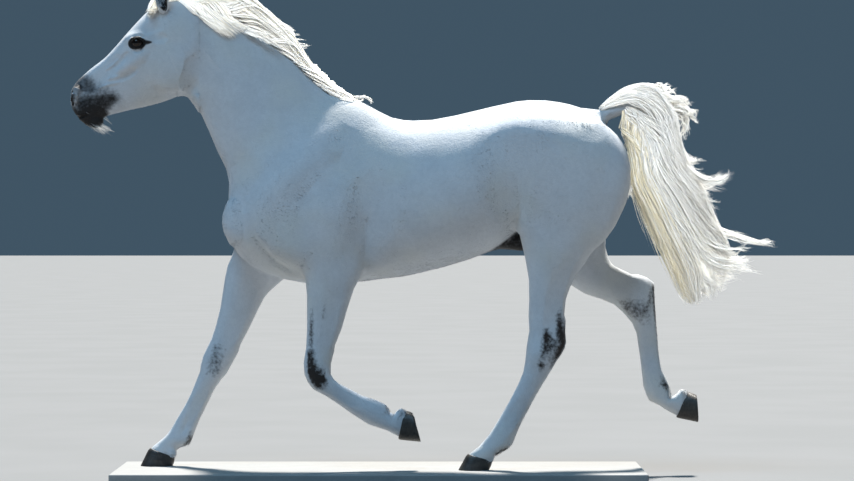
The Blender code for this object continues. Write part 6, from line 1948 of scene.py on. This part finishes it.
def base_material():
    paint = Paint("base_paint", 0.55)
    speck = paint.noise(450.0, 2.0)
    cloud = paint.noise(5.0, 4.0)
    colour = paint.mix(paint.stretch(speck, 0.35, 0.65), (0.30, 0.30, 0.29), (0.36, 0.36, 0.35))
    colour = paint.mix(paint.stretch(cloud, 0.35, 0.70, 0.0, 0.5), colour, (0.26, 0.26, 0.255))
    return paint.finish(colour, speck, 0.0003, paint.stretch(cloud, 0.3, 0.7, 0.48, 0.62))


def floor_material():
    paint = Paint("floor", 0.8)
    cloud = paint.stretch(paint.noise(1.2, 3.0), 0.3, 0.7)
    return paint.finish(paint.mix(cloud, (0.160, 0.165, 0.168), (0.172, 0.176, 0.180)))


# ---------------------------------------------------------------- stage
CAMERA_FROM_ORIGIN = (0.188, -12.8, 0.9443)
FRAME_WIDTH = 3.416               # what the camera takes in at the horse's middle plane
SENSOR = 36.0
FAR = 200                         # nothing further from the camera is seen
FLOOR_REACH = 300
SKY_COLOUR = (0.052, 0.090, 0.128, 1)


def make_camera():
    lens = bpy.data.cameras.new("camera")
    lens.sensor_width = SENSOR
    lens.lens = SENSOR * -CAMERA_FROM_ORIGIN[1] / FRAME_WIDTH
    lens.clip_end = FAR
    camera = bpy.data.objects.new("camera", lens)
    camera.location = CAMERA_FROM_ORIGIN
    camera.rotation_euler = (radians(90), 0, 0)
    bpy.context.scene.collection.objects.link(camera)
    bpy.context.scene.camera = camera


def make_sun(name, towards, strength, spread, colour, only=None):
    """A broad, far lamp, which lights everything evenly from that side, or only the objects named."""
    lamp = bpy.data.lights.new(name, "SUN")
    lamp.energy = strength
    lamp.angle = radians(spread)
    lamp.color = colour
    light = bpy.data.objects.new(name, lamp)
    light.rotation_euler = Vector(towards).to_track_quat("Z", "Y").to_euler()
    bpy.context.scene.collection.objects.link(light)
    if only:
        lit = bpy.data.collections.new(f"lit_by_{name}")
        for obj in only:
            lit.objects.link(obj)
        light.light_linking.receiver_collection = lit


def make_stage(long_hair):
    """A pale floor, sun from behind and above, and sky light from the near side. Long hair glows where the
    sun shines through it, which a lamp for the hair alone stands in for."""
    mesh = bpy.data.meshes.new("floor")
    corners = [(FLOOR_REACH * x, FLOOR_REACH * y, 0) for x, y in ((-1, -1), (1, -1), (1, 1), (-1, 1))]
    mesh.from_pydata(corners, [], [(0, 1, 2, 3)])
    mesh.materials.append(floor_material())
    floor = bpy.data.objects.new("floor", mesh)
    bpy.context.scene.collection.objects.link(floor)
    world = bpy.data.worlds.new("studio")
    world.use_nodes = True
    background = world.node_tree.nodes["Background"]
    background.inputs["Color"].default_value = SKY_COLOUR
    background.inputs["Strength"].default_value = 1.0
    bpy.context.scene.world = world
    bpy.context.scene.view_settings.view_transform = "Standard"
    make_sun("key", (0.10, 0.50, 1.0), 9.0, 7, (1.0, 0.96, 0.90))
    make_sun("sky", (-0.28, -0.50, 0.92), 1.45, 30, (0.38, 0.69, 1.0))
    make_sun("glow", (0.35, -1.00, 0.35), 6.8, 60, (1.0, 0.98, 0.93), long_hair)


# ---------------------------------------------------------------- assembly
def skin_tree(skin):
    return BVHTree.FromPolygons(points_of(skin.data).tolist(), triangles_of(skin.data).tolist())


UPPER_LEG = {"foreleg": "forearm", "hindleg": "gaskin"}
FLESH = ["trunk", "neck", "head", "muzzle", "tail_dock"] + [
    f"{leg}_{part}" for leg in LEGS for part in (UPPER_LEG[leg.split("_")[0]], "cannon", "pastern")]


def belongs(piece, slot, *nodes):
    """Rides a piece on the body and hides the CAD nodes that it stands for. The slot is not used."""
    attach(piece, "root")
    if nodes:
        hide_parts(*nodes)


coat, hair, horn, eye_glass = coat_material(), hair_material(), horn_material(), eye_material()

skin = make_skin(coat)
paint_points(skin.data, "marks", markings(points_of(skin.data)))
belongs(skin, "coat", *FLESH)
tree = skin_tree(skin)
for piece in make_coat(skin, coat):
    belongs(piece, "coat")

for side, word in ((-1, "left"), (1, "right")):
    ear = make_ear(side, word, coat)
    belongs(ear, "coat", f"ear_{word}")
    belongs(make_ear_hair(side, word, ear, coat), "coat")
    belongs(make_eye(side, word, eye_glass), "eye", f"eye_{word}")
    belongs(make_lashes(side, word, coat), "coat")
belongs(make_whiskers(skin, hair), "long_hair")

for leg in LEGS:
    belongs(make_hoof(leg, horn), "hoof", f"{leg}_hoof")

long_hair = [
    make_blown_mane(tree, hair),
    make_fallen_mane(tree, hair),
    make_wisps("mane_wisps", MANE_WISPS, 12, STRAND_LOCKS, 0.0026, hair, 0.008),
    make_forelock(tree, hair),
    make_wisps("tail_wisps", WISPS, 16, STRAND_LOCKS - 2, 0.0028, hair, 0.020),
    make_wisps("tail_croup", CROUP_HAIR, 12, STRAND_LOCKS, 0.0034, hair, 0.004, True),
    *(make_tail(number, hair) for number in range(3)),
]
for piece in long_hair:
    belongs(piece, "long_hair")
cores = (                         # name, clay, how far inside it the core is, triangles, CAD node
    ("mane_core", mane_clay(CORE_VOXEL), 0.010, 12000, "mane"),
    ("forelock_core", forelock_clay(FORELOCK_VOXEL), 0.005, 3000, "forelock"),
    ("tail_core", tail_clay(CORE_VOXEL), 0.026, 16000, "tail_hair"),
)
for name, clay, inset, triangles, node in cores:
    core = hair_core(name, clay, inset, triangles, hair)
    belongs(core, "long_hair", node)
    long_hair.append(core)

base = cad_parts["stand_base"]
base.data.materials.clear()
base.data.materials.append(base_material())

make_stage(long_hair)
make_camera()
